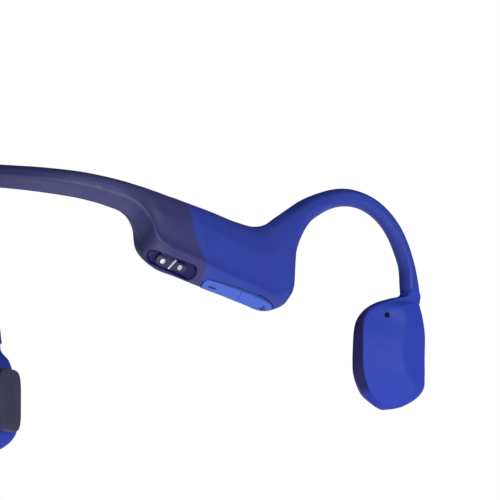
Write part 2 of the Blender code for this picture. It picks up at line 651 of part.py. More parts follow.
        # charging port
        put(bevel_strip(PORT_A + 0.1, PORT_B - 0.1, 0.20, 0.84, -0.35, 0.6, 9, 0.28), "charge_port_bezel", GLOSSY)
        for name, r in (("charge_contact_rear", 10.12), ("charge_contact_front", 10.86)):
            base, way, up = bevel_normal_flat(r, 0.52)
            put(bm_cylinder(base + way * 0.05, way, 0.72, 0.3, 12), name, STEEL)
        base, way, up = bevel_normal_flat(10.5, 0.52)
        along = np.cross(way, up)
        rib = bevel_strip(10.4, 10.56, 0.26, 0.78, 0.25, -0.05, 3)
        put(rib, "charge_key_rib", STEEL)
        put(bevel_strip(10.2, 10.9, 0.34, 0.72, -2.0, 2.9, 3), "charge_magnet", FOIL)
    else:
        put(bm_box((95.5, -0.5, 22.2), (111.0, 1.3, 29.3)), "battery", FOIL)
        put(bm_box((97.0, -1.6, 24.0), (107.0, -0.8, 29.6)), "battery_protection_board", BOARD)
        base = np.array(MF_AT)
        d, p = wrap_direction(base, face, side)
        axis_empty("multifunction_axis", p)
        AXES["multifunction_axis"].parent = AXES[arm]
        AXES["multifunction_axis"].location = Vector(p) - Vector(AXES[arm].location)
        cap = bm_cylinder(tuple(base - face * 0.45), tuple(face), MF_R, 1.4, 20)
        button(cap, "multifunction_button", BRIGHT, side, p)
        put(bm_box((148.6, 0.85, 10.3), (150.6, 1.4, 12.3)), "multifunction_switch", FOIL)
        print("multifunction axis", (-d).round(4), "at", p.round(5))


def button(bm, name, look, side, at):
    """A pressed cap: its origin sits on its own axis."""
    holder = {"volume_down_button": "volume_down_axis", "volume_up_button": "volume_up_axis", "multifunction_button": "multifunction_axis"}[name]
    bmesh.ops.triangulate(bm, faces=[f for f in bm.faces if len(f.verts) > 3])
    to_world(bm, side, Vector(at))
    mesh = bpy.data.meshes.new(name)
    bm.to_mesh(mesh)
    bm.free()
    obj = bpy.data.objects.new(name, mesh)
    bpy.context.scene.collection.objects.link(obj)
    obj.parent = AXES[holder]
    mesh.materials.append(material(*look))
    mesh.shade_smooth()
    mesh.set_sharp_from_angle(angle=math.radians(35))
    return obj


clear_scene()
build_neckband()
for each_side in (-1, 1):
    build_side(each_side)
bpy.context.view_layer.update()
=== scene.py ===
import math

import bmesh
import bpy
import numpy as np
from mathutils import Matrix, Vector


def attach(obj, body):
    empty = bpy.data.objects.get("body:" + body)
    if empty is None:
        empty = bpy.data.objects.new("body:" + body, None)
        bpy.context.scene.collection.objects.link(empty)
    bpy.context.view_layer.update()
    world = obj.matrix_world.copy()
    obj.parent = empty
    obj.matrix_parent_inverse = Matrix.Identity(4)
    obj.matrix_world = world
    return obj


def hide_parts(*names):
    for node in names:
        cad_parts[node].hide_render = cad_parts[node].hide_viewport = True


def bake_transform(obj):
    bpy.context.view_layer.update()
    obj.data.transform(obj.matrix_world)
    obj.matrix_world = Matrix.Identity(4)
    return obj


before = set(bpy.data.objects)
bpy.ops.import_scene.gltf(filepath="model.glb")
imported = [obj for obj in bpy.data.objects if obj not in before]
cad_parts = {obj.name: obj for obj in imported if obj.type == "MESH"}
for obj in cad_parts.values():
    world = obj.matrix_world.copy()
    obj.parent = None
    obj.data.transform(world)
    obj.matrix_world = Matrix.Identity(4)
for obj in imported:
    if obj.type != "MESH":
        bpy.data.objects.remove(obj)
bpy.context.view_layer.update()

MM = 0.001

# ---------------------------------------------------------------- dimensions of the model, mm
BACK_RADIUS = 54.0       # plan radius of the band round the neck
TOE_OUT = 3.0            # degrees by which each arm opens toward the pods
ARM_RUN = 90.0           # length of arm after the round back
BACK_Y = 64.0            # the band's middle surface at the neck
LIFT = -0.1              # height of the pods' lowest points

# rungs of the hook-and-housing ladder: (top or front edge U, Z), (bottom or rear edge U, Z)
RUNGS = [
    ((0, 42), (0, 36.8)),
    ((26, 41.8), (26, 36.6)),
    ((44, 41.1), (44, 35.9)),
    ((52, 40.8), (52, 35.2)),
    ((60, 40.3), (60, 34.3)),
    ((66, 39.6), (65.6, 33.2)),
    ((69.5, 39.12), (69, 32.2)),
    ((72, 38.72), (71.7, 30.2)),
    ((74.5, 38.32), (73.5, 27.2)),
    ((77.5, 37.82), (74, 23.7)),
    ((80.5, 37.32), (77.4, 21.35)),
    ((83.5, 36.92), (84, 20.08)),
    ((86.1, 36.5), (91.7, 18.9)),      # seam between the rear boot and the housing
    ((94.4, 35.42), (99.6, 17.85)),
    ((102.9, 34.2), (106.6, 16.8)),
    ((108.4, 33.95), (111.6, 16.15)),
    ((112, 34.75), (115.4, 16.85)),
    ((115.6, 36.75), (119.2, 19.2)),
    ((118.8, 38.5), (119.4, 22.6)),
    ((121.6, 40), (119.5, 26.5)),
    ((124.4, 41.45), (121.3, 31.0)),
    ((127.6, 42.75), (124.6, 35.2)),
]
SEAM = 12
HOOK_START = 19          # the housing's shells end here and the hook's sleeve begins
# rungs of the hook: (outside of the bend U, Z), (inside of the bend U, Z)
HOOK = [
    ((130, 43.65), (131, 39)),
    ((133.4, 44.65), (134.2, 40.3)),
    ((137.5, 45.35), (137.8, 41.1)),
    ((142.1, 45.25), (141.7, 41.2)),
    ((146.9, 44.2), (145.6, 40.4)),
    ((151.5, 41.8), (149.5, 38.5)),
    ((154.9, 38.8), (152.1, 36.1)),
    ((157.3, 35.3), (154, 33.3)),
    ((159.1, 31.4), (155.5, 30.1)),
    ((160.25, 27.6), (155.8, 26.7)),
    ((160.75, 25.1), (156.0, 24.6)),
]
# rungs of the pod: (front edge U, Z), (rear edge U, Z)
POD = [
    ((160.6, 24.3), (155.6, 24.5)),
    ((160.7, 22.6), (152.8, 23.6)),
    ((160.8, 20.8), (149.6, 22.5)),
    ((160.9, 18.6), (146.8, 20.8)),
    ((161.0, 16.0), (145.1, 18.7)),
    ((161.0, 13.4), (144.3, 16.2)),
    ((161.0, 10.5), (144.0, 12.0)),
    ((161.0, 7.6), (144.1, 8.2)),
    ((160.8, 4.9), (144.9, 5.4)),
    ((159.4, 2.9), (146.6, 2.9)),
    ((157.6, 1.6), (148.6, 1.3)),
    ((155.6, 0.7), (150.4, 0.45)),
    ((153.9, 0.2), (152.2, 0.1)),
]
# section corners of the ladder: place along the rung from its bottom edge, outward offset, corner radius
# order: bottom tip, crease, middle of face, top shoulder, top tip, inner shoulder, inner bottom
BAND_SEC = ((0, 0.2, 0.6), (2.7, 1.9, 0.7), (-2.0, 1.75, 0.3), (-0.9, 1.5, 0.7), (-0.0, 0.2, 0.5), (-0.9, -1.5, 0.8), (0.9, -1.5, 0.8))
BOOT_SEC = ((0, 0.2, 0.9), (4.1, 4.2, 1.0), (-5.0, 3.4, 0.5), (-1.6, 2.4, 1.6), (-0.0, 0.5, 0.8), (-2.0, -2.4, 2.2), (2.4, -3.4, 2.2))
HOUSE_SEC = ((0, 0.3, 0.9), (4.0, 4.3, 1.2), (-6.0, 3.5, 0.5), (-1.7, 2.5, 1.7), (-0.0, 0.6, 0.8), (-2.1, -2.6, 2.2), (2.4, -3.7, 2.2))
ROOT_SEC = ((0, 0.1, 1.0), (1.6, 2.2, 1.4), (-3.4, 2.8, 0.8), (-1.2, 2.2, 1.2), (-0.0, 0.2, 1.0), (-1.4, -2.2, 1.6), (1.6, -2.6, 1.6))
TUBE_SEC = ((0, 0.0, 1.0), (1.05, 1.85, 1.1), (-1.85, 1.85, 0.1), (-1.05, 1.85, 1.1), (-0.0, 0.0, 1.0), (-1.05, -1.85, 1.1), (1.05, -1.85, 1.1))
POD_TOP = ((0, -0.6, 0.8), (0.7, 1.3, 0.8), (-2.6, 2.0, 0.5), (-1.0, 1.75, 0.7), (-0.0, 0.4, 0.8), (-1.2, -2.0, 1.0), (1.1, -1.9, 1.0))
POD_SHO = ((0, -2.2, 0.7), (0.5, 0.2, 0.7), (-7.0, 2.7, 0.7), (-0.7, 2.0, 0.7), (-0.0, 0.4, 0.8), (-2.2, -5.2, 1.3), (2.6, -5.6, 1.3))
POD_MID = ((0, -3.0, 0.6), (0.5, -0.5, 0.7), (-7.8, 2.7, 0.9), (-0.7, 2.0, 0.8), (-0.0, 0.4, 0.8), (-2.5, -6.6, 1.4), (4.6, -7.0, 1.4))
POD_END = ((0, -2.2, 0.4), (0.3, -0.6, 0.4), (-0.9, 0.6, 0.4), (-0.3, 0.4, 0.4), (-0.0, -0.6, 0.4), (-0.3, -3.0, 0.4), (0.3, -3.0, 0.4))
HOUSE_FRONT = ((0, 0.3, 0.9), (2.4, 3.05, 1.3), (-6.0, 3.4, 1.0), (-1.7, 2.5, 1.7), (-0.0, 0.6, 0.8), (-2.1, -2.6, 2.2), (2.4, -3.7, 2.2))
HOUSE_REAR = ((0, 0.3, 0.9), (3.35, 3.75, 1.1), (-6.0, 3.5, 0.8), (-1.7, 2.5, 1.7), (-0.0, 0.6, 0.8), (-2.1, -2.6, 2.2), (2.4, -3.7, 2.2))
SECTIONS = [(0, BAND_SEC), (5, BAND_SEC), (9.5, BOOT_SEC), (11.6, BOOT_SEC), (13.6, HOUSE_REAR), (16.2, HOUSE_FRONT), (20, ROOT_SEC), (24, TUBE_SEC), (32, TUBE_SEC)]
POD_SECTIONS = [(0, POD_TOP), (1.2, POD_TOP), (3.4, POD_SHO), (6, POD_MID), (9, POD_MID), (12, POD_END)]


# ---------------------------------------------------------------- plan curve
def smoothstep(x):
    x = np.clip(x, 0.0, 1.0)
    return x * x * (3 - 2 * x)


def plan_tables():
    """Heading and place along the arm: a round back whose curvature fades out, then an arm that opens slightly."""
    arc = math.pi / 2 * BACK_RADIUS
    u = np.linspace(0.0, arc + ARM_RUN, 3501)
    fade = 1 - smoothstep((u - (arc - 14)) / 28)
    toe = smoothstep((u - arc) / 14) * (1 - smoothstep((u - (arc + 36)) / 14))
    bend = fade / BACK_RADIUS - toe * math.radians(TOE_OUT) / 36
    step = u[1] - u[0]
    heading = np.concatenate([[0], np.cumsum((bend[1:] + bend[:-1]) / 2 * step)])
    dx, dy = -np.cos(heading), -np.sin(heading)
    x = np.concatenate([[0], np.cumsum((dx[1:] + dx[:-1]) / 2 * step)])
    y = BACK_Y + np.concatenate([[0], np.cumsum((dy[1:] + dy[:-1]) / 2 * step)])
    return u, heading, x, y


PLAN_U, PLAN_A, PLAN_X, PLAN_Y = plan_tables()


def wrap(points, side):
    """Unrolled (u, inward, z) in mm to world metres; side -1 is the wearer's right, +1 the left."""
    points = np.asarray(points, float)
    u, inward, z = points[:, 0], points[:, 1], points[:, 2]
    sign = np.where(u < 0, -1.0, 1.0)
    au = np.abs(u)
    a = np.interp(au, PLAN_U, PLAN_A)
    x = np.interp(au, PLAN_U, PLAN_X)
    y = np.interp(au, PLAN_U, PLAN_Y)
    x = (x + np.sin(a) * inward) * sign
    y = y - np.cos(a) * inward
    return np.stack([-side * x, y, z + LIFT], axis=1) * MM


# ---------------------------------------------------------------- smooth interpolation
def tangents(keys, values):
    """Slopes of a curve through the keys, weighted for uneven spacing."""
    d = np.diff(values, axis=0) / np.diff(keys)[:, None]
    m = np.empty_like(values)
    m[0], m[-1] = d[0], d[-1]
    h = np.diff(keys)[:, None]
    m[1:-1] = (d[:-1] * h[1:] + d[1:] * h[:-1]) / (h[:-1] + h[1:])
    return m


def hermite(keys, values, at):
    keys, values = np.asarray(keys, float), np.asarray(values, float)
    m = tangents(keys, values)
    i = np.clip(np.searchsorted(keys, at, side="right") - 1, 0, len(keys) - 2)
    h = (keys[i + 1] - keys[i])[:, None]
    x = ((at - keys[i]))[:, None] / h
    return (
        (2 * x**3 - 3 * x**2 + 1) * values[i]
        + (x**3 - 2 * x**2 + x) * h * m[i]
        + (-2 * x**3 + 3 * x**2) * values[i + 1]
        + (x**3 - x**2) * h * m[i + 1]
    )


class Ladder:
    """A body whose section sits on rungs that run from one edge of its outline to the other."""

    def __init__(self, rungs, sections):
        self.far = np.array([r[0] for r in rungs], float)
        self.near = np.array([r[1] for r in rungs], float)
        middle = (self.far + self.near) / 2
        self.keys = np.concatenate([[0], np.cumsum(np.hypot(*np.diff(middle, axis=0).T))])
        self.sections = sections

    def place(self, rung):
        """Arc length of a rung number."""
        return np.interp(rung, np.arange(len(self.keys)), self.keys)

    def edges(self, rung):
        at = np.atleast_1d(self.place(rung))
        return hermite(self.keys, self.far, at)[0], hermite(self.keys, self.near, at)[0]

    def corners(self, rung):
        """The section's corners as (along the rung, outward, radius)."""
        far, near = self.edges(rung)
        width = float(np.hypot(*(far - near)))
        keys = [s[0] for s in self.sections]
        i = int(np.clip(np.searchsorted(keys, rung, side="right") - 1, 0, len(keys) - 2))
        f = float(smoothstep((rung - keys[i]) / (keys[i + 1] - keys[i])))
        found = []
        for k in range(7):
            pair = []
            for sec in (self.sections[i][1], self.sections[i + 1][1]):
                w, t, r = sec[k]
                from_far = k in (2, 3, 4, 5)
                pair.append((width + w if from_far else w, t, r))
            found.append(tuple((1 - f) * a + f * b for a, b in zip(*pair)))
        return width, found

    def section(self, rung, per_corner=2, inset=0.0):
        """Closed loop of (along, outward) points, each corner rounded by a short curve."""
        width, c = self.corners(rung)
        n = len(c)
        loop = []
        for k in range(n):
            p = np.array(c[k][:2])
            before, after = np.array(c[k - 1][:2]), np.array(c[(k + 1) % n][:2])
            la, lb = np.hypot(*(before - p)), np.hypot(*(after - p))
            ra, rb = min(c[k][2], 0.48 * la), min(c[k][2], 0.48 * lb)
            a = p + (before - p) / la * ra
            b = p + (after - p) / lb * rb
            for q in np.linspace(0, 1, per_corner):
                loop.append((1 - q) ** 2 * a + 2 * q * (1 - q) * p + q * q * b)
        loop = np.array(loop)
        if inset:
            low, high = loop.min(0), loop.max(0)
            mid, size = (low + high) / 2, high - low
            loop = mid + (loop - mid) * np.maximum(size - 2 * inset, 0.3) / size
        return loop

    def to_flat(self, rung, loop):
        """(along, outward) on a rung to unrolled (u, inward, z)."""
        far, near = self.edges(rung)
        way = (far - near) / np.hypot(*(far - near))
        loop = np.asarray(loop, float)
        return np.stack([near[0] + way[0] * loop[:, 0], -loop[:, 1], near[1] + way[1] * loop[:, 0]], axis=1)


ARM = Ladder(RUNGS + HOOK, SECTIONS)
PODL = Ladder(POD, POD_SECTIONS)
HOOK_END = len(RUNGS) + len(HOOK) - 1



# ---------------------------------------------------------------- fine profiles
ARC = 9                  # points on each rounded corner


def profile(ladder, rung, mids, round_to=None):
    """The section as a dense closed loop that starts at the bottom tip and runs up the bevel: (along, outward) points,
    outward normals, and the signed length along the outline from the tip."""
    width, c = ladder.corners(rung)
    n = len(c)
    loop = []
    arcs = []
    for k in range(n):
        p = np.array(c[k][:2])
        before, after = np.array(c[k - 1][:2]), np.array(c[(k + 1) % n][:2])
        la, lb = np.hypot(*(before - p)), np.hypot(*(after - p))
        radius = c[k][2] if round_to is None else c[k][2] * round_to[k]
        ra, rb = min(radius, 0.48 * la), min(radius, 0.48 * lb)
        arcs.append((p + (before - p) / la * ra, p, p + (after - p) / lb * rb))
    for k in range(n):
        a, p, b = arcs[k]
        q = np.linspace(0, 1, ARC)[:, None]
        loop.append((1 - q) ** 2 * a + 2 * q * (1 - q) * p + q * q * b)
        nxt = arcs[(k + 1) % n][0]
        m = mids[k]
        if m:
            f = (np.arange(1, m + 1) / (m + 1))[:, None]
            loop.append(b + (nxt - b) * f)
    loop = np.roll(np.concatenate(loop), -(ARC // 2), axis=0)
    step = np.diff(np.concatenate([loop, loop[:1]]), axis=0)
    size = np.hypot(*step.T)
    run = np.concatenate([[0], np.cumsum(size)[:-1]])
    total = size.sum()
    signed = np.where(run > total / 2, run - total, run)
    ahead = np.roll(loop, -1, axis=0) - np.roll(loop, 1, axis=0)
    ahead /= np.hypot(*ahead.T)[:, None]
    normal = np.stack([-ahead[:, 1], ahead[:, 0]], axis=1)
    return loop, normal, signed


def along_table():
    """Length along the lower edge of the arm against rung number."""
    r = np.linspace(0, HOOK_END, 1600)
    near = np.array([ARM.edges(x)[1] for x in r])
    return r, np.concatenate([[0], np.cumsum(np.hypot(*np.diff(near, axis=0).T))])


RUN_R, RUN_L = along_table()


def length_at(rung):
    return float(np.interp(rung, RUN_R, RUN_L))


def rung_at(length):
    return np.interp(length, RUN_L, RUN_R)


COARSE = (10, 6, 12, 4, 4, 8, 4)
FINE = (56, 10, 20, 4, 4, 10, 12)
_PROFILES = {}


def surface(length, c, height):
    """Points on the arm: length along the lower edge, c up the bevel from the bottom tip, height above the surface.
    It gives unrolled (u, inward, z)."""
    length, c, height = np.broadcast_arrays(length, c, height)
    out = np.empty(length.shape + (3,))
    for idx in np.ndindex(length.shape):
        rung = float(rung_at(length[idx]))
        key = round(rung, 3)
        if key not in _PROFILES:
            p, n, s = profile(ARM, key, (30, 10, 20, 4, 4, 10, 20))
            order = np.argsort(s)
            _PROFILES[key] = (s[order], p[order], n[order])
        s, p, n = _PROFILES[key]
        at = np.array([np.interp(c[idx], s, p[:, 0]), np.interp(c[idx], s, p[:, 1])])
        nn = np.array([np.interp(c[idx], s, n[:, 0]), np.interp(c[idx], s, n[:, 1])])
        nn /= np.hypot(*nn)
        out[idx] = ARM.to_flat(key, [at + nn * height[idx]])[0]
    return out


def pill(l, c, l0, l1, c0, c1, lean=0.0):
    """Signed distance to a pill from l0 to l1 and from c0 to c1; negative inside. lean slants its ends."""
    radius = (c1 - c0) / 2
    mid = (c0 + c1) / 2
    lm = (l0 + l1) / 2
    half = (l1 - l0) / 2 - radius
    q = l - lm - lean * (c - mid)
    return np.hypot(np.maximum(np.abs(q) - half, 0), c - mid) - radius


def oval(l, c, l0, l1, c0, c1, a0, a1):
    """Signed distance, good near the outline, to a slot whose two ends are half ellipses a0 and a1 long."""
    radius = (c1 - c0) / 2
    y = c - (c0 + c1) / 2
    x = np.where(l < l0 + a0, l - l0 - a0, np.where(l > l1 - a1, l - l1 + a1, 0.0))
    a = np.where(l < l0 + a0, a0, a1)
    size = np.hypot(x / a, y / radius)
    slope = np.hypot(x / a**2, y / radius**2) / np.maximum(size, 1e-6)
    return np.clip((size - 1) / np.maximum(slope, 0.2), -0.98, 4.0)


def ramp(x, a, b):
    return smoothstep((x - a) / (b - a))


# ---------------------------------------------------------------- meshes
def signed_volume(verts, faces):
    total = 0.0
    for f in faces:
        a = verts[f[0]]
        for i in range(1, len(f) - 1):
            total += float(np.dot(a, np.cross(verts[f[i]], verts[f[i + 1]])))
    return total


def make(name, flat, faces, side, angle=38, marks=None, outward=True):
    """A piece from unrolled points in mm; its faces are turned outward."""
    verts = wrap(np.asarray(flat, float).reshape(-1, 3), side)
    return make_world(name, verts, faces, angle, marks, outward)


def make_world(name, verts, faces, angle=38, marks=None, outward=True):
    if (signed_volume(verts * 1000, faces) < 0) == outward:
        faces = [tuple(f[::-1]) for f in faces]
    mesh = bpy.data.meshes.new(name)
    mesh.from_pydata([tuple(v) for v in verts], [], [tuple(int(i) for i in f) for f in faces])
    if marks:
        for word, values in marks.items():
            layer = mesh.attributes.new(word, "FLOAT", "POINT")
            layer.data.foreach_set("value", np.asarray(values, np.float32).reshape(-1))
    mesh.update()
    mesh.shade_smooth()
    mesh.set_sharp_from_angle(angle=math.radians(angle))
    obj = bpy.data.objects.new(name, mesh)
    bpy.context.scene.collection.objects.link(obj)
    return obj


def ring_faces(rows, n, start=0, closed=True):
    faces = []
    for i in range(rows - 1):
        a, b = start + i * n, start + (i + 1) * n
        for k in range(n if closed else n - 1):
            k2 = (k + 1) % n
            faces.append((a + k, a + k2, b + k2, b + k))
    return faces


def stations(pairs):
    """Rung numbers from (start, end, spacing in mm of the middle line)."""
    found = []
    for ladder, a, b, spacing in pairs:
        size = abs(float(ladder.place(b) - ladder.place(a)))
        n = max(1, round(size / spacing))
        found += list(np.linspace(a, b, n + 1)[:-1])
    return found + [pairs[-1][2]]


def seam_rung(c):
    """Where the navy turns into the blue, as a rung number at a height up the bevel."""
    return np.interp(c, (-6.0, -1.0, 0.0, 2.0, 5.5, 9.0, 12.3, 19.5), SEAM_LINE)


def skin(name, ladder, rungs, mids, side, shift=None, round_to=None, angle=38):
    """A closed skin over the ladder's rungs. shift(rung, loop, c, flat) gives the height to add."""
    rows, marks = [], []
    n = None
    for r in rungs:
        loop, normal, c = profile(ladder, r, mids, round_to)
        if shift is not None:
            flat = ladder.to_flat(r, loop)
            h = shift(r, loop, c, flat)
            loop = loop + normal * h[:, None]
        rows.append(ladder.to_flat(r, loop))
        marks.append(ramp(r - seam_rung(c), -0.035, 0.035))
        n = len(loop)
    flat = np.concatenate(rows)
    faces = ring_faces(len(rows), n)
    faces.append(tuple(range(n))[::-1])
    last = (len(rows) - 1) * n
    faces.append(tuple(range(last, last + n)))
    return make(name, flat, faces, side, angle, {"tone": np.concatenate(marks)})


# ---------------------------------------------------------------- places on the arm, mm (length along the lower edge, height up the bevel)
PORT = dict(l0=80.5, l1=95.3, c0=0.28, c1=4.15)
PORT_DEEP = 0.85
KEYS = dict(l0=98.4, l1=121.1, c0=-1.45, c1=2.70, a0=2.3, a1=5.0)
KEYS_SPLIT = 110.1
KEYS_DEEP = 0.86
KEY_GAP = 0.15


def port_share(l):
    """The port's height narrows toward its rear end, where the arm's lower edge turns up."""
    return 1 - 0.30 * (1 - ramp(l, 79.0, 86.0))


def key_slot(l, c, gap=0.0):
    """Signed distance to the buttons' slot; its upper shoulder widens toward the front."""
    k = KEYS
    return oval(l, c, k["l0"] + gap, k["l1"] - gap, k["c0"] + gap, k["c1"] + shoulder(l) - gap, k["a0"] - gap, k["a1"] - gap)


def shoulder(l):
    return 0.62 * ramp(l, 99.5, 111.0) * (1 - 0.45 * ramp(l, 116.0, 120.5))


def bevel_shape(rung, loop, c, flat, port, keys):
    """Heights added to the arm: the dip behind the crease's ridge, and the places for the port and the buttons."""
    length = length_at(rung)
    _, corners = ARM.corners(rung)
    crease = math.hypot(corners[1][0] - corners[0][0], corners[1][1] - corners[0][1])
    h = np.zeros(len(c))
    # the face dips behind the ridge of the bevel
    strength = 0.30 * ramp(rung, 6.5, 9.2) * (1 - 0.62 * ramp(rung, 11.6, 14.0)) * (1 - ramp(rung, 14.0, 18.0))
    if strength > 0:
        d = c - crease
        dip = np.where(d > 0, ramp(d, -0.1, 1.5) * (1 - ramp(d, 1.6, 6.2)), 0.0)
        h -= strength * dip
    near = np.abs(c) < 9
    if port and 8.8 < rung < 11.9:
        d = pill(np.full(len(c), length), PORT["c0"] + (c - PORT["c0"]) / port_share(length), **PORT)
        h = np.where(near, h - PORT_DEEP * (1 - ramp(d, -0.35, 0.12)), h)
    if keys and 11.6 < rung < 16.4:
        d = key_slot(np.full(len(c), length), c)
        h = np.where(near, h - KEYS_DEEP * (1 - ramp(d, -0.10, 0.03)), h)
    return h


SEAM_LINE = (11.9, 11.9, 11.93, 11.87, 11.78, 11.62, 11.38, 11.60)


def band_skin(side):
    right = side < 0
    word = "right" if right else "left"
    mids = FINE if right else COARSE
    if right:
        rungs = stations([(ARM, 0, 3, 0.9), (ARM, 3, 8.6, 0.5), (ARM, 8.6, 11.8, 0.13), (ARM, 11.8, SEAM, 0.3)])
    else:
        rungs = stations([(ARM, 0, 3, 0.9), (ARM, 3, SEAM, 0.45)])
    obj = skin(f"{word}_band_skin", ARM, rungs, mids, side,
               lambda r, loop, c, flat: bevel_shape(r, loop, c, flat, right, right))
    return obj


def housing_skin(side):
    right = side < 0
    word = "right" if right else "left"
    mids = FINE if right else COARSE
    if right:
        rungs = stations([(ARM, SEAM, 16.4, 0.12), (ARM, 16.4, 20, 0.35), (ARM, 20, HOOK_END, 0.45)])
    else:
        rungs = stations([(ARM, SEAM, HOOK_END, 0.45)])
    return skin(f"{word}_housing_skin", ARM, rungs, mids, side,
                lambda r, loop, c, flat: bevel_shape(r, loop, c, flat, False, right))


# ---------------------------------------------------------------- buttons
def key_cap(name, side, l0, l1, round_start):
    """Half of the pill: its top follows the arm's surface, its edge rolls down, and it is 0.55 mm thick."""
    k = KEYS
    across = 52
    reach = k["a0" if round_start else "a1"] - KEY_GAP
    turn = np.linspace(0.07, math.pi / 2, 34)
    curved = reach * (1 - np.cos(turn))
    span = l1 - l0
    plain = np.linspace(reach, span, round((span - reach) / 0.075))[1:-1]
    lengths = np.concatenate([curved, plain, span - np.array([0.20, 0.13, 0.07, 0.03, 0.01, 0.0])])
    lengths = np.unique(np.round(lengths, 4))
    lengths = l0 + lengths if round_start else (l1 - lengths)[::-1]
    top, marks = [], []
    deep = []
    for length in lengths:
        end = (length - l0) if round_start else (l1 - length)
        wide = float(shoulder(length))
        radius = (k["c1"] + wide - k["c0"]) / 2 - KEY_GAP
        mid = (k["c0"] + k["c1"] + wide) / 2
        half = radius if end >= reach else radius * math.sqrt(max(0.0, 1 - ((reach - end) / reach) ** 2))
        half = max(half, 0.05)
        w = np.cos(np.linspace(math.pi, 0, across)) * 0.5 + np.linspace(-0.5, 0.5, across)
        c = mid + half * w
        ls = np.full(across, length)
        sdf = key_slot(ls, c, KEY_GAP)
        split = (length - l1) if round_start else (l0 - length)
        d = -np.maximum(sdf, split)
        roll = 0.20
        drop = np.where(d < roll, roll - np.sqrt(np.clip(roll**2 - (roll - np.clip(d, 0, roll)) ** 2, 0, None)), 0)
        # the shoulder slopes down to the slot's upper edge
        slope = ramp(c, mid + half - wide - 0.10, mid + half - 0.02) if wide > 0.02 else np.zeros(across)
        drop = np.maximum(drop, 0.30 * slope * min(1.0, wide / 0.4))
        # painted shade: the shoulder's slope down to the slot's upper edge gets the dark ink colour, as if it lay in
        # shadow
        shade = 0.62 * ramp(slope, 0.05, 0.45) * min(1.0, wide / 0.4)
        print_and_shade = np.zeros(across)
        if round_start:     # minus
            a = (ls - 101.5) + 0.0 * (c - 0.65)
            print_and_shade = (1 - ramp(np.abs(c - 0.95), 0.17, 0.27)) * (1 - ramp(np.abs(a), 1.15, 1.25))
        else:               # plus
            a, bb = ls - 118.0, c - 0.62
            bar = (1 - ramp(np.abs(bb), 0.15, 0.25)) * (1 - ramp(np.abs(a), 1.05, 1.15))
            post = (1 - ramp(np.abs(a), 0.17, 0.27)) * (1 - ramp(np.abs(bb), 0.82, 0.92))
            print_and_shade = np.maximum(bar, post)
        height = 0.10 - drop - 0.10 * print_and_shade
        print_and_shade = np.maximum(print_and_shade, shade)
        top.append(surface(ls, c, height))
        # the sides draw in underneath, so that the cap clears its slot when it is pressed
        inward = max(0.0, half - 0.24) / half
        tuck = 0.22 * max(0.0, 1 - end / reach) * (1 if round_start else -1)
        deep.append(surface(ls + tuck, mid + (c - mid) * inward, np.full(across, -0.40)))
        marks.append(print_and_shade)
    top, deep = np.array(top), np.array(deep)
    rows, n = top.shape[:2]
    verts = np.concatenate([top.reshape(-1, 3), deep.reshape(-1, 3)])
    off = rows * n
    faces = ring_faces(rows, n, 0, closed=False)
    faces += [tuple(i + off for i in f[::-1]) for f in ring_faces(rows, n, 0, closed=False)]
    for i in range(rows - 1):
        for k2 in (0, n - 1):
            a, b = i * n + k2, (i + 1) * n + k2
            f = (a, b, b + off, a + off)
            faces.append(f[::-1] if k2 == n - 1 else f)
    for j in range(n - 1):
        for i in (0, rows - 1):
            a, b = i * n + j, i * n + j + 1
            f = (a + off, b + off, b, a)
            faces.append(f[::-1] if i else f)
    all_print_and_shade = np.concatenate([np.array(marks).reshape(-1), np.zeros(off)])
    return make(name, verts, faces, side, 50, {"print_and_shade": all_print_and_shade})


# ---------------------------------------------------------------- charging port
def pill_rings(l0, l1, c0, c1, offsets, heights, count=96, fill=True, narrow=False):
    """Concentric pills: each ring is the outline moved out by an offset, at a height."""
    radius = (c1 - c0) / 2
    mid, lm = (c0 + c1) / 2, (l0 + l1) / 2
    half = (l1 - l0) / 2 - radius
    a = np.linspace(0, 2 * math.pi, count, endpoint=False)
    straight = np.sign(np.cos(a)) * half
    rows = []
    for o, h in zip(offsets, heights):
        rr = max(radius + o, 0.02)
        ls = lm + straight + rr * np.cos(a)
        cs = mid + rr * np.sin(a)
        if narrow:
            cs = c0 + (cs - c0) * port_share(ls)
        rows.append(surface(ls, cs, np.full(count, h)))
    verts = np.array(rows).reshape(-1, 3)
    faces = ring_faces(len(rows), count)
    last = (len(rows) - 1) * count
    if fill:
        # close the middle with one face
        half_n = count // 2
        quarter = count // 4
        left = [last + (quarter + i) % count for i in range(0, half_n + 1)]
        for i in range(1, half_n):
            pass
        faces.append(tuple(range(last, last + count)))
    return verts, faces


def port_bowl(side):
    """The glossy bowl of the charging port: a rounded lip, a steep wall and a flat floor, closed underneath."""
    p = PORT
    offsets = [0.22, 0.16, 0.08, 0.0, -0.06, -0.12, -0.17, -0.22, -0.30, -0.42, -0.60, -1.0, -1.3, -1.6]
    heights = [-0.05, 0.06, 0.10, 0.105, 0.08, 0.02, -0.08, -0.22, -0.40, -0.54, -0.61, -0.63, -0.64, -0.64]
    verts, faces = pill_rings(**p, offsets=offsets, heights=heights, count=120, narrow=True)
    under_v, under_f = pill_rings(**p, offsets=[0.22, -0.2, -1.0, -1.6], heights=[-0.05, -0.80, -0.82, -0.82], count=120, narrow=True)
    off = len(verts)
    verts = np.concatenate([verts, under_v])
    faces += [tuple(i + off for i in f[::-1]) for f in under_f]
    n = 120
    bm_verts, index = np.unique(np.round(verts, 6), axis=0, return_inverse=True)
    index = index.reshape(-1)
    out = []
    for f in faces:
        g = [int(index[i]) for i in f]
        g = [v for i, v in enumerate(g) if v != g[i - 1]]
        if len(set(g)) == len(g) and len(g) > 2:
            out.append(tuple(g))
    return make("port_bowl", bm_verts, out, side, 60)


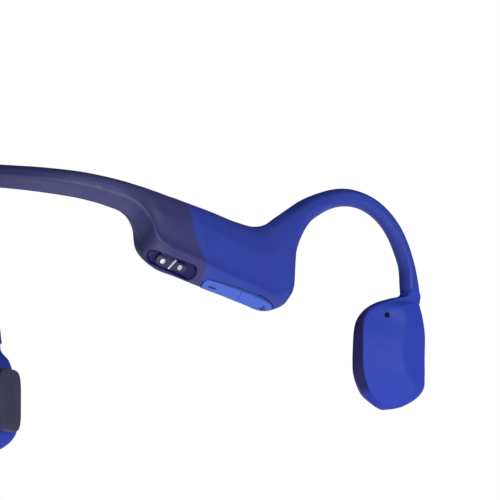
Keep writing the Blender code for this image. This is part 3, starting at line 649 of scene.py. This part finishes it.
def raised_pill(name, side, l0, l1, c0, c1, low, high, edge, count=72):
    """A low plateau in the bowl with a rounded edge."""
    offsets = [0.0, 0.0, -edge * 0.3, -edge * 0.65, -edge, -(c1 - c0) / 2 * 0.6, -(c1 - c0) / 2 + 0.03]
    heights = [low, high - edge, high - edge * 0.35, high - edge * 0.08, high, high, high]
    verts, faces = pill_rings(l0, l1, c0, c1, offsets, heights, count)
    faces.append(tuple(range(count))[::-1])
    return make(name, verts, faces, side, 60)


def stud(name, side, length, c, radius, low, high, edge=0.08, count=40, lean=0.0):
    """A round contact pin with a softened edge and a faintly domed top."""
    a = np.linspace(0, 2 * math.pi, count, endpoint=False)
    # the rungs are nearer each other up the bevel than at the lower edge
    stretch = 1.0
    p = surface(np.array([length - 0.5, length + 0.5]), np.array([c, c]), np.array([0.0, 0.0]))
    stretch = 1.0 / max(0.2, float(np.linalg.norm(p[1] - p[0])))
    rows = []
    for r, h in ((radius, low), (radius, high - edge), (radius - edge * 0.4, high - edge * 0.3), (radius - edge, high),
                 (radius * 0.75, high + 0.012), (radius * 0.4, high + 0.02), (radius * 0.08, high + 0.022)):
        rows.append(surface(length + r * np.cos(a) * stretch, c + r * np.sin(a), np.full(count, h)))
    verts = np.array(rows).reshape(-1, 3)
    faces = ring_faces(len(rows), count)
    faces.append(tuple(range(count))[::-1])
    last = (len(rows) - 1) * count
    faces.append(tuple(range(last, last + count)))
    return make(name, verts, faces, side, 60)


def rib(name, side, start, end, half, low, high):
    """The slanted key rib between the contacts, with rounded ends and edges."""
    a, b = np.array(start), np.array(end)
    n = 40
    ang = np.linspace(0, 2 * math.pi, n, endpoint=False)
    way = b - a
    length = np.hypot(*way)
    way = way / length
    acr = np.array([-way[1], way[0]])
    rows = []
    for o, h in ((0.0, low), (0.0, high - 0.07), (-0.03, high - 0.02), (-0.07, high), (-half * 0.9, high + 0.01)):
        r = half + o
        cx = np.where(np.cos(ang) > 0, 1.0, 0.0)
        pts = a + np.outer(cx * length, way) + np.outer(r * np.cos(ang), way) + np.outer(r * np.sin(ang), acr)
        rows.append(surface(pts[:, 0], pts[:, 1], np.full(n, h)))
    verts = np.array(rows).reshape(-1, 3)
    faces = ring_faces(len(rows), n)
    faces.append(tuple(range(n))[::-1])
    last = (len(rows) - 1) * n
    faces.append(tuple(range(last, last + n)))
    return make(name, verts, faces, side, 60)


# ---------------------------------------------------------------- pods
NECK = [
    ((159.9, 27.6), (156.2, 27.6)),
    ((160.3, 26.3), (156.1, 26.4)),
    ((160.55, 25.3), (155.9, 25.4)),
]
POD_FINE = [
    ((160.7, 24.3), (155.4, 24.5)),
    ((160.85, 22.6), (152.6, 23.6)),
    ((161.3, 20.8), (149.4, 22.5)),
    ((161.6, 18.6), (146.5, 20.8)),
    ((161.85, 16.0), (144.8, 18.7)),
    ((161.85, 13.4), (144.0, 16.2)),
    ((161.85, 10.5), (143.7, 12.0)),
    ((161.85, 7.6), (143.8, 8.2)),
    ((161.6, 4.9), (144.75, 5.5)),
    ((159.6, 2.75), (146.55, 3.0)),
    ((157.2, 1.4), (148.9, 1.35)),
    ((155.2, 0.6), (150.6, 0.5)),
    ((153.7, 0.22), (152.0, 0.15)),
]
NECK_SEC = tuple((w, t * 0.93, r) for w, t, r in TUBE_SEC)
POD_CAP = ((0, -1.4, 0.7), (0.6, 0.2, 0.7), (-6.9, 2.4, 0.7), (-0.9, 1.75, 0.7), (-0.0, 0.4, 0.8), (-1.7, -3.6, 1.1), (1.8, -3.8, 1.1))
POD_HIGH = ((0, -2.2, 0.7), (0.5, -0.9, 0.7), (-7.4, 2.7, 0.8), (-0.7, 2.0, 0.7), (-0.0, 0.4, 0.8), (-2.2, -5.2, 1.3), (2.6, -5.6, 1.3))
POD_WIDE = ((0, -3.0, 0.6), (0.5, -0.5, 0.55), (-8.3, 2.7, 0.9), (-0.7, 2.0, 0.8), (-0.0, 0.4, 0.8), (-2.5, -6.6, 1.4), (4.6, -7.0, 1.4))
POD_7 = ((0, -3.0, 0.6), (0.5, -0.5, 0.55), (-7.2, 2.65, 0.9), (-0.7, 2.0, 0.8), (-0.0, 0.4, 0.8), (-2.5, -6.5, 1.4), (4.4, -7.0, 1.4))
POD_8 = ((0, -2.9, 0.6), (0.5, -0.5, 0.55), (-4.4, 2.45, 0.9), (-0.7, 1.8, 0.7), (-0.0, 0.3, 0.7), (-2.3, -6.0, 1.3), (4.0, -6.6, 1.3))
POD_9 = ((0, -2.8, 0.55), (0.5, -0.5, 0.5), (-2.5, 2.0, 0.9), (-0.7, 1.4, 0.7), (-0.0, 0.1, 0.7), (-2.0, -5.2, 1.2), (3.2, -5.8, 1.2))
POD_10 = ((0, -2.6, 0.5), (0.45, -0.5, 0.5), (-2.2, 1.4, 0.8), (-0.7, 1.0, 0.6), (-0.0, -0.1, 0.6), (-1.5, -4.1, 1.0), (2.2, -4.5, 1.0))
POD_11 = ((0, -2.4, 0.45), (0.4, -0.55, 0.45), (-1.6, 0.95, 0.6), (-0.5, 0.7, 0.5), (-0.0, -0.3, 0.5), (-0.9, -3.3, 0.8), (1.1, -3.5, 0.8))


class SmoothLadder(Ladder):
    """The same ladder with its section's corners on smooth curves instead of steps."""

    def corners(self, rung):
        far, near = self.edges(rung)
        width = float(np.hypot(*(far - near)))
        keys = np.array([s[0] for s in self.sections], float)
        table = np.array([[c for corner in s[1] for c in corner] for s in self.sections], float)
        row = hermite(keys, table, np.array([float(rung)]))[0].reshape(7, 3)
        found = []
        for k in range(7):
            w, t, r = row[k]
            found.append((width + w if k in (2, 3, 4, 5) else w, t, max(r, 0.05)))
        return width, found


POD_LADDER = SmoothLadder(NECK + POD_FINE, [(0, NECK_SEC), (1.0, TUBE_SEC), (3.9, POD_TOP), (4.8, POD_CAP), (6.4, POD_HIGH), (9, POD_WIDE), (10, POD_7), (11, POD_8), (12, POD_9), (13, POD_10), (14, POD_11), (15, POD_END)])
POD_MIDS = (14, 56, 34, 10, 22, 20, 14)
POD_ROUND = (1.0, 0.75, 0.9, 1.0, 1.0, 1.0, 1.0)
MIC = (150.25, 19.6)
MF = (148.9, 11.2)
MF_R = 3.4


def pod_shape(rung, loop, c, flat, left):
    h = np.zeros(len(loop))
    u, inward, z = flat[:, 0], flat[:, 1], flat[:, 2]
    outer = inward < 1.5
    # step under the hook, on the front half
    reach = ramp(u, 155.0, 157.6)
    step = np.where(z < 22.95, 1 - ramp(22.95 - z, 0.0, 2.4), 0.0)
    lip = np.exp(-((z - 22.62) / 0.13) ** 2)
    groove = np.exp(-((z - 22.98) / 0.11) ** 2)
    h = np.where(inward < 1.2, h - 0.13 * reach * step + 0.03 * reach * lip - 0.20 * reach * groove, h)
    # microphone hole
    lean = math.radians(20)
    d = np.hypot((u - MIC[0]) / math.cos(lean), z - MIC[1])
    h = np.where(outer, h - 1.1 * (1 - ramp(d, 0.34, 0.50)), h)
    if left:
        d = np.hypot((u - MF[0]) / math.cos(lean), z - MF[1])
        h = np.where(outer, h - 1.15 * (1 - ramp(d, MF_R + 0.07, MF_R + 0.20)), h)
    return h


def pod(side):
    """The pod's two shells: one skin over the ladder, parted on the inner side by a fine gap."""
    left = side > 0
    word = "left" if left else "right"
    rungs = stations([(POD_LADDER, 0, 3, 0.3), (POD_LADDER, 3, 6, 0.16), (POD_LADDER, 6, 14.6, 0.22 if not left else 0.16), (POD_LADDER, 14.6, 15, 0.06)])
    rows = []
    for r in rungs:
        loop, normal, c = profile(POD_LADDER, r, POD_MIDS, POD_ROUND)
        flat = POD_LADDER.to_flat(r, loop)
        rows.append(POD_LADDER.to_flat(r, loop + normal * pod_shape(r, loop, c, flat, left)[:, None]))
    n = len(rows[0])
    verts = np.concatenate(rows)
    bm = bmesh.new()
    bv = [bm.verts.new(v) for v in verts]
    for f in ring_faces(len(rows), n):
        bm.faces.new([bv[i] for i in f])
    bm.faces.new([bv[i] for i in range(n)][::-1])
    last = (len(rows) - 1) * n
    bm.faces.new([bv[last + i] for i in range(n)])
    bmesh.ops.recalc_face_normals(bm, faces=bm.faces)
    out = []
    for name, plane, keep_high in ((f"{word}_pod_outer_skin", 3.12, False), (f"{word}_pod_inner_skin", 3.24, True)):
        part = bm.copy()
        geom = part.verts[:] + part.edges[:] + part.faces[:]
        cut = bmesh.ops.bisect_plane(part, geom=geom, dist=1e-6, plane_co=(0, plane, 0), plane_no=(0, 1, 0),
                                     clear_outer=not keep_high, clear_inner=keep_high)
        edges = [e for e in part.edges if e.is_boundary]
        bmesh.ops.holes_fill(part, edges=edges, sides=0)
        part.verts.index_update()
        v = np.array([x.co[:] for x in part.verts])
        f = [tuple(x.index for x in face.verts) for face in part.faces]
        part.free()
        out.append(make(name, v, f, side, 32))
    bm.free()
    return out


def superellipse(count, power):
    a = np.linspace(0, 2 * math.pi, count, endpoint=False)
    c, s = np.cos(a), np.sin(a)
    return np.sign(c) * np.abs(c) ** (2 / power), np.sign(s) * np.abs(s) ** (2 / power)


def skin_pad(side):
    """The soft pad that rests on the cheekbone: a rounded rectangle with a low dome and a rolled edge."""
    word = "right" if side < 0 else "left"
    cu, cz, hu, hz = 153.9, 11.6, 3.85, 6.7
    x, y = superellipse(120, 4.5)
    rows = []
    for inset, inward in ((0.0, 7.0), (0.0, 7.9), (0.06, 8.1), (0.18, 8.24), (0.36, 8.34), (0.8, 8.43), (1.5, 8.5), (2.4, 8.55), (3.4, 8.58), (4.2, 8.59)):
        rows.append(np.stack([cu + x * (hu - inset), np.full(120, inward), cz + y * (hz - inset)], axis=1))
    verts = np.concatenate(rows)
    faces = ring_faces(len(rows), 120)
    faces.append(tuple(range(120))[::-1])
    last = (len(rows) - 1) * 120
    faces.append(tuple(range(last, last + 120)))
    return make(f"{word}_pad_skin", verts, faces, side, 50)


def on_pod_face(u, z, height):
    """The pod's outer-face normal, and the direction across the face, in the unrolled frame."""
    lean = math.radians(20)
    face = np.array((-math.sin(lean), -math.cos(lean), 0.0))
    right = np.array((math.cos(lean), -math.sin(lean), 0.0))
    return face, right


def round_cap(name, side, u, z, inward, radius, rings, count=96):
    """A round cap on the pod's slanted face, from (radius share, height) pairs."""
    face, across = on_pod_face(u, z, 0)
    a = np.linspace(0, 2 * math.pi, count, endpoint=False)
    base = np.array((u, inward, z))
    rows = []
    for r, h in rings:
        rows.append(base + np.outer(np.cos(a) * radius * r, across) + np.outer(np.sin(a) * radius * r, (0, 0, 1)) + face * h)
    verts = np.concatenate(rows)
    faces = ring_faces(len(rows), count)
    faces.append(tuple(range(count))[::-1])
    last = (len(rows) - 1) * count
    faces.append(tuple(range(last, last + count)))
    return make(name, verts, faces, side, 50)


# ---------------------------------------------------------------- finishes
def finish_material(name, color, second, rough, spread=0.08, grain=9000.0, grain_depth=0.006, cloud=90.0, metallic=0.0,
                    sheen=0.0, coat=0.0, coat_rough=0.1, spec=0.5, wear=0.0, wear_color=(0.4, 0.4, 0.45), scratch=0.0,
                    print_and_shade=None, ior=1.45, tone=None, rear=None):
    """A procedural finish: cloudy colour, fine grain in the bump, uneven roughness, and paler worn edges."""
    m = bpy.data.materials.new(name)
    m.use_nodes = True
    tree = m.node_tree
    node, link = tree.nodes, tree.links
    shader = node["Principled BSDF"]
    place = node.new("ShaderNodeTexCoord")
    clouds = node.new("ShaderNodeTexNoise")
    clouds.inputs["Scale"].default_value = cloud
    clouds.inputs["Detail"].default_value = 4.0
    clouds.inputs["Roughness"].default_value = 0.55
    link.new(place.outputs["Object"], clouds.inputs["Vector"])
    fine = node.new("ShaderNodeTexNoise")
    fine.inputs["Scale"].default_value = grain
    fine.inputs["Detail"].default_value = 3.0
    fine.inputs["Roughness"].default_value = 0.6
    link.new(place.outputs["Object"], fine.inputs["Vector"])
    spots = node.new("ShaderNodeTexNoise")
    spots.inputs["Scale"].default_value = cloud * 7
    spots.inputs["Detail"].default_value = 5.0
    link.new(place.outputs["Object"], spots.inputs["Vector"])

    blend_color = node.new("ShaderNodeMix")
    blend_color.data_type = "RGBA"
    blend_color.inputs[6].default_value = (*color, 1)
    blend_color.inputs[7].default_value = (*second, 1)
    band = node.new("ShaderNodeMapRange")
    band.inputs["From Min"].default_value = 0.32
    band.inputs["From Max"].default_value = 0.68
    link.new(clouds.outputs["Fac"], band.inputs["Value"])
    link.new(band.outputs["Result"], blend_color.inputs[0])
    tint = node.new("ShaderNodeMix")
    tint.data_type = "RGBA"
    tint.blend_type = "MULTIPLY"
    speck = node.new("ShaderNodeMapRange")
    speck.inputs["From Min"].default_value = 0.3
    speck.inputs["From Max"].default_value = 0.7
    speck.inputs["To Min"].default_value = 0.93
    speck.inputs["To Max"].default_value = 1.05
    link.new(fine.outputs["Fac"], speck.inputs["Value"])
    tint.inputs[0].default_value = 1.0
    link.new(blend_color.outputs[2], tint.inputs[6])
    link.new(speck.outputs["Result"], tint.inputs[7])
    if tone:
        # the second colour of a two-colour moulding
        where = node.new("ShaderNodeAttribute")
        where.attribute_name = "tone"
        change = node.new("ShaderNodeMix")
        change.data_type = "RGBA"
        change.inputs[7].default_value = (*tone, 1)
        link.new(where.outputs["Fac"], change.inputs[0])
        link.new(blend_color.outputs[2], change.inputs[6])
        link.new(change.outputs[2], tint.inputs[6])
    last = tint.outputs[2]
    if rear:
        # the rear strip of the pod, up to the crease, in a second colour
        aim = node.new("ShaderNodeVectorMath")
        aim.operation = "DOT_PRODUCT"
        aim.inputs[1].default_value = (0.0, 1.0, 0.0)
        link.new(place.outputs["Normal"], aim.inputs[0])
        turned = node.new("ShaderNodeMapRange")
        turned.inputs["From Min"].default_value = 0.66
        turned.inputs["From Max"].default_value = 0.80
        link.new(aim.outputs["Value"], turned.inputs["Value"])
        split_ = node.new("ShaderNodeSeparateXYZ")
        link.new(place.outputs["Object"], split_.inputs[0])
        low = node.new("ShaderNodeMapRange")
        low.inputs["From Min"].default_value = 21.6 * MM
        low.inputs["From Max"].default_value = 20.2 * MM
        link.new(split_.outputs["Z"], low.inputs["Value"])
        share = node.new("ShaderNodeMath")
        share.operation = "MULTIPLY"
        link.new(turned.outputs["Result"], share.inputs[0])
        link.new(low.outputs["Result"], share.inputs[1])
        strip = node.new("ShaderNodeMix")
        strip.data_type = "RGBA"
        strip.inputs[7].default_value = (*rear, 1)
        link.new(share.outputs[0], strip.inputs[0])
        link.new(last, strip.inputs[6])
        last = strip.outputs[2]
    if wear:
        geometry = node.new("ShaderNodeNewGeometry")
        edge = node.new("ShaderNodeMapRange")
        edge.inputs["From Min"].default_value = 0.545
        edge.inputs["From Max"].default_value = 0.66
        edge.inputs["To Max"].default_value = wear
        link.new(geometry.outputs["Pointiness"], edge.inputs["Value"])
        broken = node.new("ShaderNodeMath")
        broken.operation = "MULTIPLY"
        link.new(edge.outputs["Result"], broken.inputs[0])
        link.new(spots.outputs["Fac"], broken.inputs[1])
        worn = node.new("ShaderNodeMix")
        worn.data_type = "RGBA"
        worn.inputs[7].default_value = (*wear_color, 1)
        link.new(broken.outputs[0], worn.inputs[0])
        link.new(last, worn.inputs[6])
        last = worn.outputs[2]
    if print_and_shade:
        # the printed minus and plus, and the painted shade along the buttons' upper shoulder, take the ink colour
        flag = node.new("ShaderNodeAttribute")
        flag.attribute_name = "print_and_shade"
        ink_and_shade_mix = node.new("ShaderNodeMix")
        ink_and_shade_mix.data_type = "RGBA"
        ink_and_shade_mix.inputs[7].default_value = (*print_and_shade, 1)
        link.new(flag.outputs["Fac"], ink_and_shade_mix.inputs[0])
        link.new(last, ink_and_shade_mix.inputs[6])
        last = ink_and_shade_mix.outputs[2]
    link.new(last, shader.inputs["Base Color"])

    uneven = node.new("ShaderNodeMapRange")
    uneven.inputs["From Min"].default_value = 0.3
    uneven.inputs["From Max"].default_value = 0.7
    uneven.inputs["To Min"].default_value = max(0.02, rough - spread)
    uneven.inputs["To Max"].default_value = min(1.0, rough + spread)
    link.new(spots.outputs["Fac"], uneven.inputs["Value"])
    link.new(uneven.outputs["Result"], shader.inputs["Roughness"])

    bump = node.new("ShaderNodeBump")
    bump.inputs["Strength"].default_value = 0.5
    bump.inputs["Distance"].default_value = grain_depth * MM
    link.new(fine.outputs["Fac"], bump.inputs["Height"])
    if scratch:
        stretch = node.new("ShaderNodeMapping")
        stretch.inputs["Scale"].default_value = (300.0, 300.0, 9000.0)
        link.new(place.outputs["Object"], stretch.inputs["Vector"])
        lines = node.new("ShaderNodeTexNoise")
        lines.inputs["Scale"].default_value = 1.0
        lines.inputs["Detail"].default_value = 2.0
        link.new(stretch.outputs["Vector"], lines.inputs["Vector"])
        over = node.new("ShaderNodeBump")
        over.inputs["Strength"].default_value = scratch
        over.inputs["Distance"].default_value = 0.004 * MM
        link.new(lines.outputs["Fac"], over.inputs["Height"])
        link.new(bump.outputs["Normal"], over.inputs["Normal"])
        link.new(over.outputs["Normal"], shader.inputs["Normal"])
    else:
        link.new(bump.outputs["Normal"], shader.inputs["Normal"])
    shader.inputs["Metallic"].default_value = metallic
    shader.inputs["Specular IOR Level"].default_value = spec
    shader.inputs["IOR"].default_value = ior
    if sheen:
        shader.inputs["Sheen Weight"].default_value = sheen
        shader.inputs["Sheen Roughness"].default_value = 0.45
    if coat:
        shader.inputs["Coat Weight"].default_value = coat
        shader.inputs["Coat Roughness"].default_value = coat_rough
    m.diffuse_color = (*color, 1)
    return m


NAVY = finish_material("navy_silicone", (0.026, 0.025, 0.128), (0.029, 0.028, 0.135), 0.49, 0.05, sheen=0.04, spec=0.50,
                       wear=0.12, wear_color=(0.10, 0.10, 0.24), tone=(0.0185, 0.037, 0.300))
BLUE = finish_material("blue_silicone", (0.019, 0.038, 0.303), (0.022, 0.042, 0.320), 0.49, 0.05, sheen=0.02, spec=0.34,
                       wear=0.12, wear_color=(0.08, 0.10, 0.42))
PODS = finish_material("pod_silicone", (0.022, 0.046, 0.385), (0.025, 0.050, 0.400), 0.50, 0.05, sheen=0.0, spec=0.20,
                       wear=0.15, wear_color=(0.10, 0.12, 0.44), rear=(0.026, 0.024, 0.130))
# the ink colour paints the printed minus and plus and the painted shade on the buttons' upper shoulder
KEY = finish_material("button_blue_silicone", (0.048, 0.112, 0.545), (0.054, 0.120, 0.565), 0.45, 0.06, sheen=0.03,
                      spec=0.42, wear=0.10, wear_color=(0.2, 0.25, 0.7), print_and_shade=(0.004, 0.008, 0.075))
PAD = finish_material("pad_silicone", (0.030, 0.032, 0.075), (0.036, 0.038, 0.085), 0.58, 0.08, sheen=0.15, spec=0.4,
                      grain=5200.0, grain_depth=0.012)
GLOSS = finish_material("port_gloss", (0.0050, 0.0022, 0.070), (0.0065, 0.003, 0.080), 0.16, 0.04, coat=0.25,
                        coat_rough=0.07, grain=4000.0, grain_depth=0.001, spec=0.22)
ISLAND = finish_material("port_island", (0.020, 0.019, 0.062), (0.026, 0.024, 0.070), 0.36, 0.07, grain=7000.0,
                         grain_depth=0.003, spec=0.5)
PLATE = finish_material("contact_plating", (0.78, 0.78, 0.86), (0.70, 0.70, 0.80), 0.30, 0.08, metallic=0.85, grain=6000.0,
                        grain_depth=0.003, scratch=0.25, wear=0.2, wear_color=(0.9, 0.9, 0.95))
TITANIUM = finish_material("titanium_wire", (0.42, 0.41, 0.40), (0.50, 0.48, 0.46), 0.36, 0.1, metallic=1.0, grain=5000.0,
                           scratch=0.5)
JACKET = finish_material("wire_jacket", (0.22, 0.025, 0.022), (0.17, 0.018, 0.016), 0.42, 0.08)
BOARD = finish_material("circuit_board", (0.010, 0.10, 0.045), (0.016, 0.15, 0.06), 0.42, 0.12, cloud=700.0, spec=0.5)
TIN = finish_material("tin_can", (0.56, 0.57, 0.59), (0.48, 0.49, 0.51), 0.34, 0.1, metallic=0.9, scratch=0.4)
NICKEL = finish_material("magnet_nickel", (0.60, 0.59, 0.57), (0.54, 0.53, 0.51), 0.22, 0.08, metallic=1.0, scratch=0.3)
STEEL = finish_material("brushed_steel", (0.50, 0.50, 0.51), (0.42, 0.42, 0.43), 0.33, 0.1, metallic=1.0, scratch=0.6)
COPPER = finish_material("copper_winding", (0.72, 0.30, 0.15), (0.60, 0.22, 0.10), 0.30, 0.1, metallic=1.0, scratch=0.8)
POUCH = finish_material("battery_pouch", (0.52, 0.53, 0.56), (0.46, 0.47, 0.50), 0.40, 0.12, metallic=0.7, cloud=400.0)
MESH_DARK = finish_material("microphone_mesh", (0.0015, 0.0015, 0.002), (0.004, 0.004, 0.005), 0.7, 0.15, grain=12000.0,
                            grain_depth=0.03, spec=0.15)


def dress(obj, material_):
    obj.data.materials.clear()
    obj.data.materials.append(material_)
    return obj


# ---------------------------------------------------------------- the pieces
for side, word in ((-1, "right"), (1, "left")):
    arm = f"{word}_arm"
    band = dress(band_skin(side), NAVY)
    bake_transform(band)
    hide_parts("neckband_center_sleeve", f"neckband_{word}_sleeve", f"{word}_rear_boot")

    house = dress(housing_skin(side), BLUE)
    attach(house, arm)
    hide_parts(f"{word}_housing_outer_shell", f"{word}_housing_inner_cover", f"{word}_hook_sleeve")

    outer, inner = pod(side)
    for shell, stands_for in ((outer, f"{word}_pod_outer_shell"), (inner, f"{word}_pod_inner_shell")):
        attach(dress(shell, PODS), arm)
        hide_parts(stands_for)

    pad = dress(skin_pad(side), PAD)
    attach(pad, arm)
    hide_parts(f"{word}_skin_pad")

    grille = dress(round_cap(f"{word}_microphone_mesh", side, MIC[0], MIC[1], -1.05, 0.52,
                             ((1.0, -0.35), (1.0, -0.10), (0.9, -0.06), (0.6, -0.03), (0.2, -0.02)), 32), MESH_DARK)
    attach(grille, arm)

bowl = dress(port_bowl(-1), GLOSS)
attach(bowl, "right_arm")
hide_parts("charge_port_bezel")
island = dress(raised_pill("port_island", -1, 83.2, 92.4, 1.2, 3.15, -0.68, -0.34, 0.14), ISLAND)
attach(island, "right_arm")
for name, node_, place_l, place_c in (("contact_pin_rear", "charge_contact_rear", 84.85, 2.2), ("contact_pin_front", "charge_contact_front", 90.2, 2.25)):
    pin = dress(stud(name, -1, place_l, place_c, 0.62, -0.45, -0.20), PLATE)
    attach(pin, "right_arm")
    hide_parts(node_)
key_rib = dress(rib("port_key_rib", -1, (87.3, 1.35), (87.75, 3.45), 0.22, -0.50, -0.08), PLATE)
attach(key_rib, "right_arm")
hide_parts("charge_key_rib")

for name, node_, body, l0, l1, first in (
    ("volume_down_cap", "volume_down_button", "volume_down", KEYS["l0"] + KEY_GAP, KEYS_SPLIT - 0.07, True),
    ("volume_up_cap", "volume_up_button", "volume_up", KEYS_SPLIT + 0.07, KEYS["l1"] - KEY_GAP, False),
):
    cap = dress(key_cap(name, -1, l0, l1, first), KEY)
    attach(cap, body)
    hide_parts(node_)

push = dress(round_cap("multifunction_cap", 1, MF[0], MF[1], -1.35, MF_R,
                       ((0.94, -0.70), (0.995, 0.02), (1.0, 0.10), (0.985, 0.17), (0.96, 0.215), (0.92, 0.24), (0.86, 0.235), (0.75, 0.19),
                        (0.6, 0.14), (0.4, 0.10), (0.2, 0.08), (0.05, 0.075))), KEY)
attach(push, "multifunction")
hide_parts("multifunction_button")

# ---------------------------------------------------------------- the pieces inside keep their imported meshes
INSIDE = (
    ("wire", TITANIUM, "titanium"), ("conductors", JACKET, "wire_jacket"), ("board_shield", TIN, "tin_can"),
    ("antenna", COPPER, "copper"), ("battery_protection_board", BOARD, "circuit_board"), ("battery", POUCH, "tin_can"),
    ("board", BOARD, "circuit_board"), ("switch", TIN, "tin_can"), ("transducer_magnet", NICKEL, "magnet_nickel"),
    ("charge_magnet", NICKEL, "magnet_nickel"), ("voice_coil", COPPER, "copper"), ("yoke", STEEL, "steel"),
    ("spring", STEEL, "steel"), ("microphone", TIN, "tin_can"),
)
for name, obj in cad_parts.items():
    if obj.hide_render:
        continue
    for word, look, slot_name in INSIDE:
        if word in name:
            dress(obj, look)
            break
    else:
        dress(obj, TIN)

# ---------------------------------------------------------------- studio
bpy.context.scene.view_settings.view_transform = "Standard"
AZ, EL = math.radians(219.0), math.radians(-8.5)
back = Vector((math.sin(AZ) * math.cos(EL), -math.cos(AZ) * math.cos(EL), math.sin(EL)))
across = Vector((math.cos(AZ), math.sin(AZ), 0.0))
upward = back.cross(across)
centre = (across * 50.64 + upward * 31.94 + back * 18.8) * MM
lens = bpy.data.cameras.new("camera")
lens.lens = 1600.0
lens.sensor_width = 36.0
lens.clip_start = 0.1
lens.clip_end = 100.0
camera = bpy.data.objects.new("camera", lens)
bpy.context.scene.collection.objects.link(camera)
turn = Matrix((across, upward, back)).transposed().to_4x4()
camera.matrix_world = Matrix.Translation(centre + back * 4.630) @ turn
bpy.context.scene.camera = camera


def soft_light(name, at, target, size, power, color=(1, 1, 1)):
    light = bpy.data.lights.new(name, "AREA")
    light.shape = "DISK"
    light.size = size
    light.energy = power
    light.color = color
    obj = bpy.data.objects.new(name, light)
    bpy.context.scene.collection.objects.link(obj)
    obj.location = at
    way = Vector(target) - Vector(at)
    obj.rotation_euler = way.to_track_quat("-Z", "Y").to_euler()
    return obj


middle = Vector((-0.05, -0.01, 0.02))
soft_light("side_softbox", middle + Vector((-0.96, 0.08, 0.03)), middle, 0.50, 5.7)
soft_light("top_front", middle + Vector((-0.50, -0.40, 0.75)), middle, 0.30, 0.5)
soft_light("under_glow", middle + Vector((-0.45, 0.10, -0.85)), middle, 0.40, 2.5)

world = bpy.data.worlds.new("studio")
bpy.context.scene.world = world
world.use_nodes = True
wt = world.node_tree
wt.nodes.clear()
out = wt.nodes.new("ShaderNodeOutputWorld")
seen = wt.nodes.new("ShaderNodeBackground")
seen.inputs["Color"].default_value = (1, 1, 1, 1)
seen.inputs["Strength"].default_value = 1.0
lit = wt.nodes.new("ShaderNodeBackground")
lit.inputs["Color"].default_value = (0.97, 0.98, 1.0, 1)
place = wt.nodes.new("ShaderNodeTexCoord")
toward = wt.nodes.new("ShaderNodeVectorMath")
toward.operation = "DOT_PRODUCT"
toward.inputs[1].default_value = tuple(back)
wt.links.new(place.outputs["Generated"], toward.inputs[0])
dim = wt.nodes.new("ShaderNodeMapRange")
dim.inputs["From Min"].default_value = -0.3
dim.inputs["From Max"].default_value = 1.0
dim.inputs["To Min"].default_value = 0.22
dim.inputs["To Max"].default_value = 0.55
wt.links.new(toward.outputs["Value"], dim.inputs["Value"])
split = wt.nodes.new("ShaderNodeSeparateXYZ")
wt.links.new(place.outputs["Generated"], split.inputs[0])
height = wt.nodes.new("ShaderNodeMapRange")
height.inputs["From Min"].default_value = -0.6
height.inputs["From Max"].default_value = 0.9
height.inputs["To Min"].default_value = 0.75
height.inputs["To Max"].default_value = 0.14
wt.links.new(split.outputs["Z"], height.inputs["Value"])
both = wt.nodes.new("ShaderNodeMath")
both.operation = "MULTIPLY"
wt.links.new(dim.outputs["Result"], both.inputs[0])
wt.links.new(height.outputs["Result"], both.inputs[1])
wt.links.new(both.outputs[0], lit.inputs["Strength"])
ray = wt.nodes.new("ShaderNodeLightPath")
mix = wt.nodes.new("ShaderNodeMixShader")
wt.links.new(ray.outputs["Is Camera Ray"], mix.inputs[0])
wt.links.new(lit.outputs[0], mix.inputs[1])
wt.links.new(seen.outputs[0], mix.inputs[2])
wt.links.new(mix.outputs[0], out.inputs["Surface"])

# the floor: seen from above only; from below, and for shadow rays, it is clear, so the low camera looks through it
floor_mesh = bpy.data.meshes.new("floor")
floor_bm = bmesh.new()
bmesh.ops.create_grid(floor_bm, x_segments=8, y_segments=8, size=3.0)
floor_bm.to_mesh(floor_mesh)
floor_bm.free()
floor = bpy.data.objects.new("floor", floor_mesh)
floor.location = (0, 0, -0.0002)
bpy.context.scene.collection.objects.link(floor)
fm = bpy.data.materials.new("pale_floor")
fm.use_nodes = True
ft = fm.node_tree
fs = ft.nodes["Principled BSDF"]
fs.inputs["Roughness"].default_value = 0.7
fs.inputs["Base Color"].default_value = (0.86, 0.86, 0.87, 1)
fs.inputs["Emission Color"].default_value = (1, 1, 1, 1)
fs.inputs["Emission Strength"].default_value = 0.45
under = ft.nodes.new("ShaderNodeBsdfTransparent")
which = ft.nodes.new("ShaderNodeNewGeometry")
pick = ft.nodes.new("ShaderNodeMixShader")
shade = ft.nodes.new("ShaderNodeLightPath")
either = ft.nodes.new("ShaderNodeMath")
either.operation = "MAXIMUM"
ft.links.new(which.outputs["Backfacing"], either.inputs[0])
ft.links.new(shade.outputs["Is Shadow Ray"], either.inputs[1])
ft.links.new(either.outputs[0], pick.inputs[0])
ft.links.new(fs.outputs[0], pick.inputs[1])
ft.links.new(under.outputs[0], pick.inputs[2])
ft.links.new(pick.outputs[0], ft.nodes["Material Output"].inputs["Surface"])
floor_mesh.materials.append(fm)
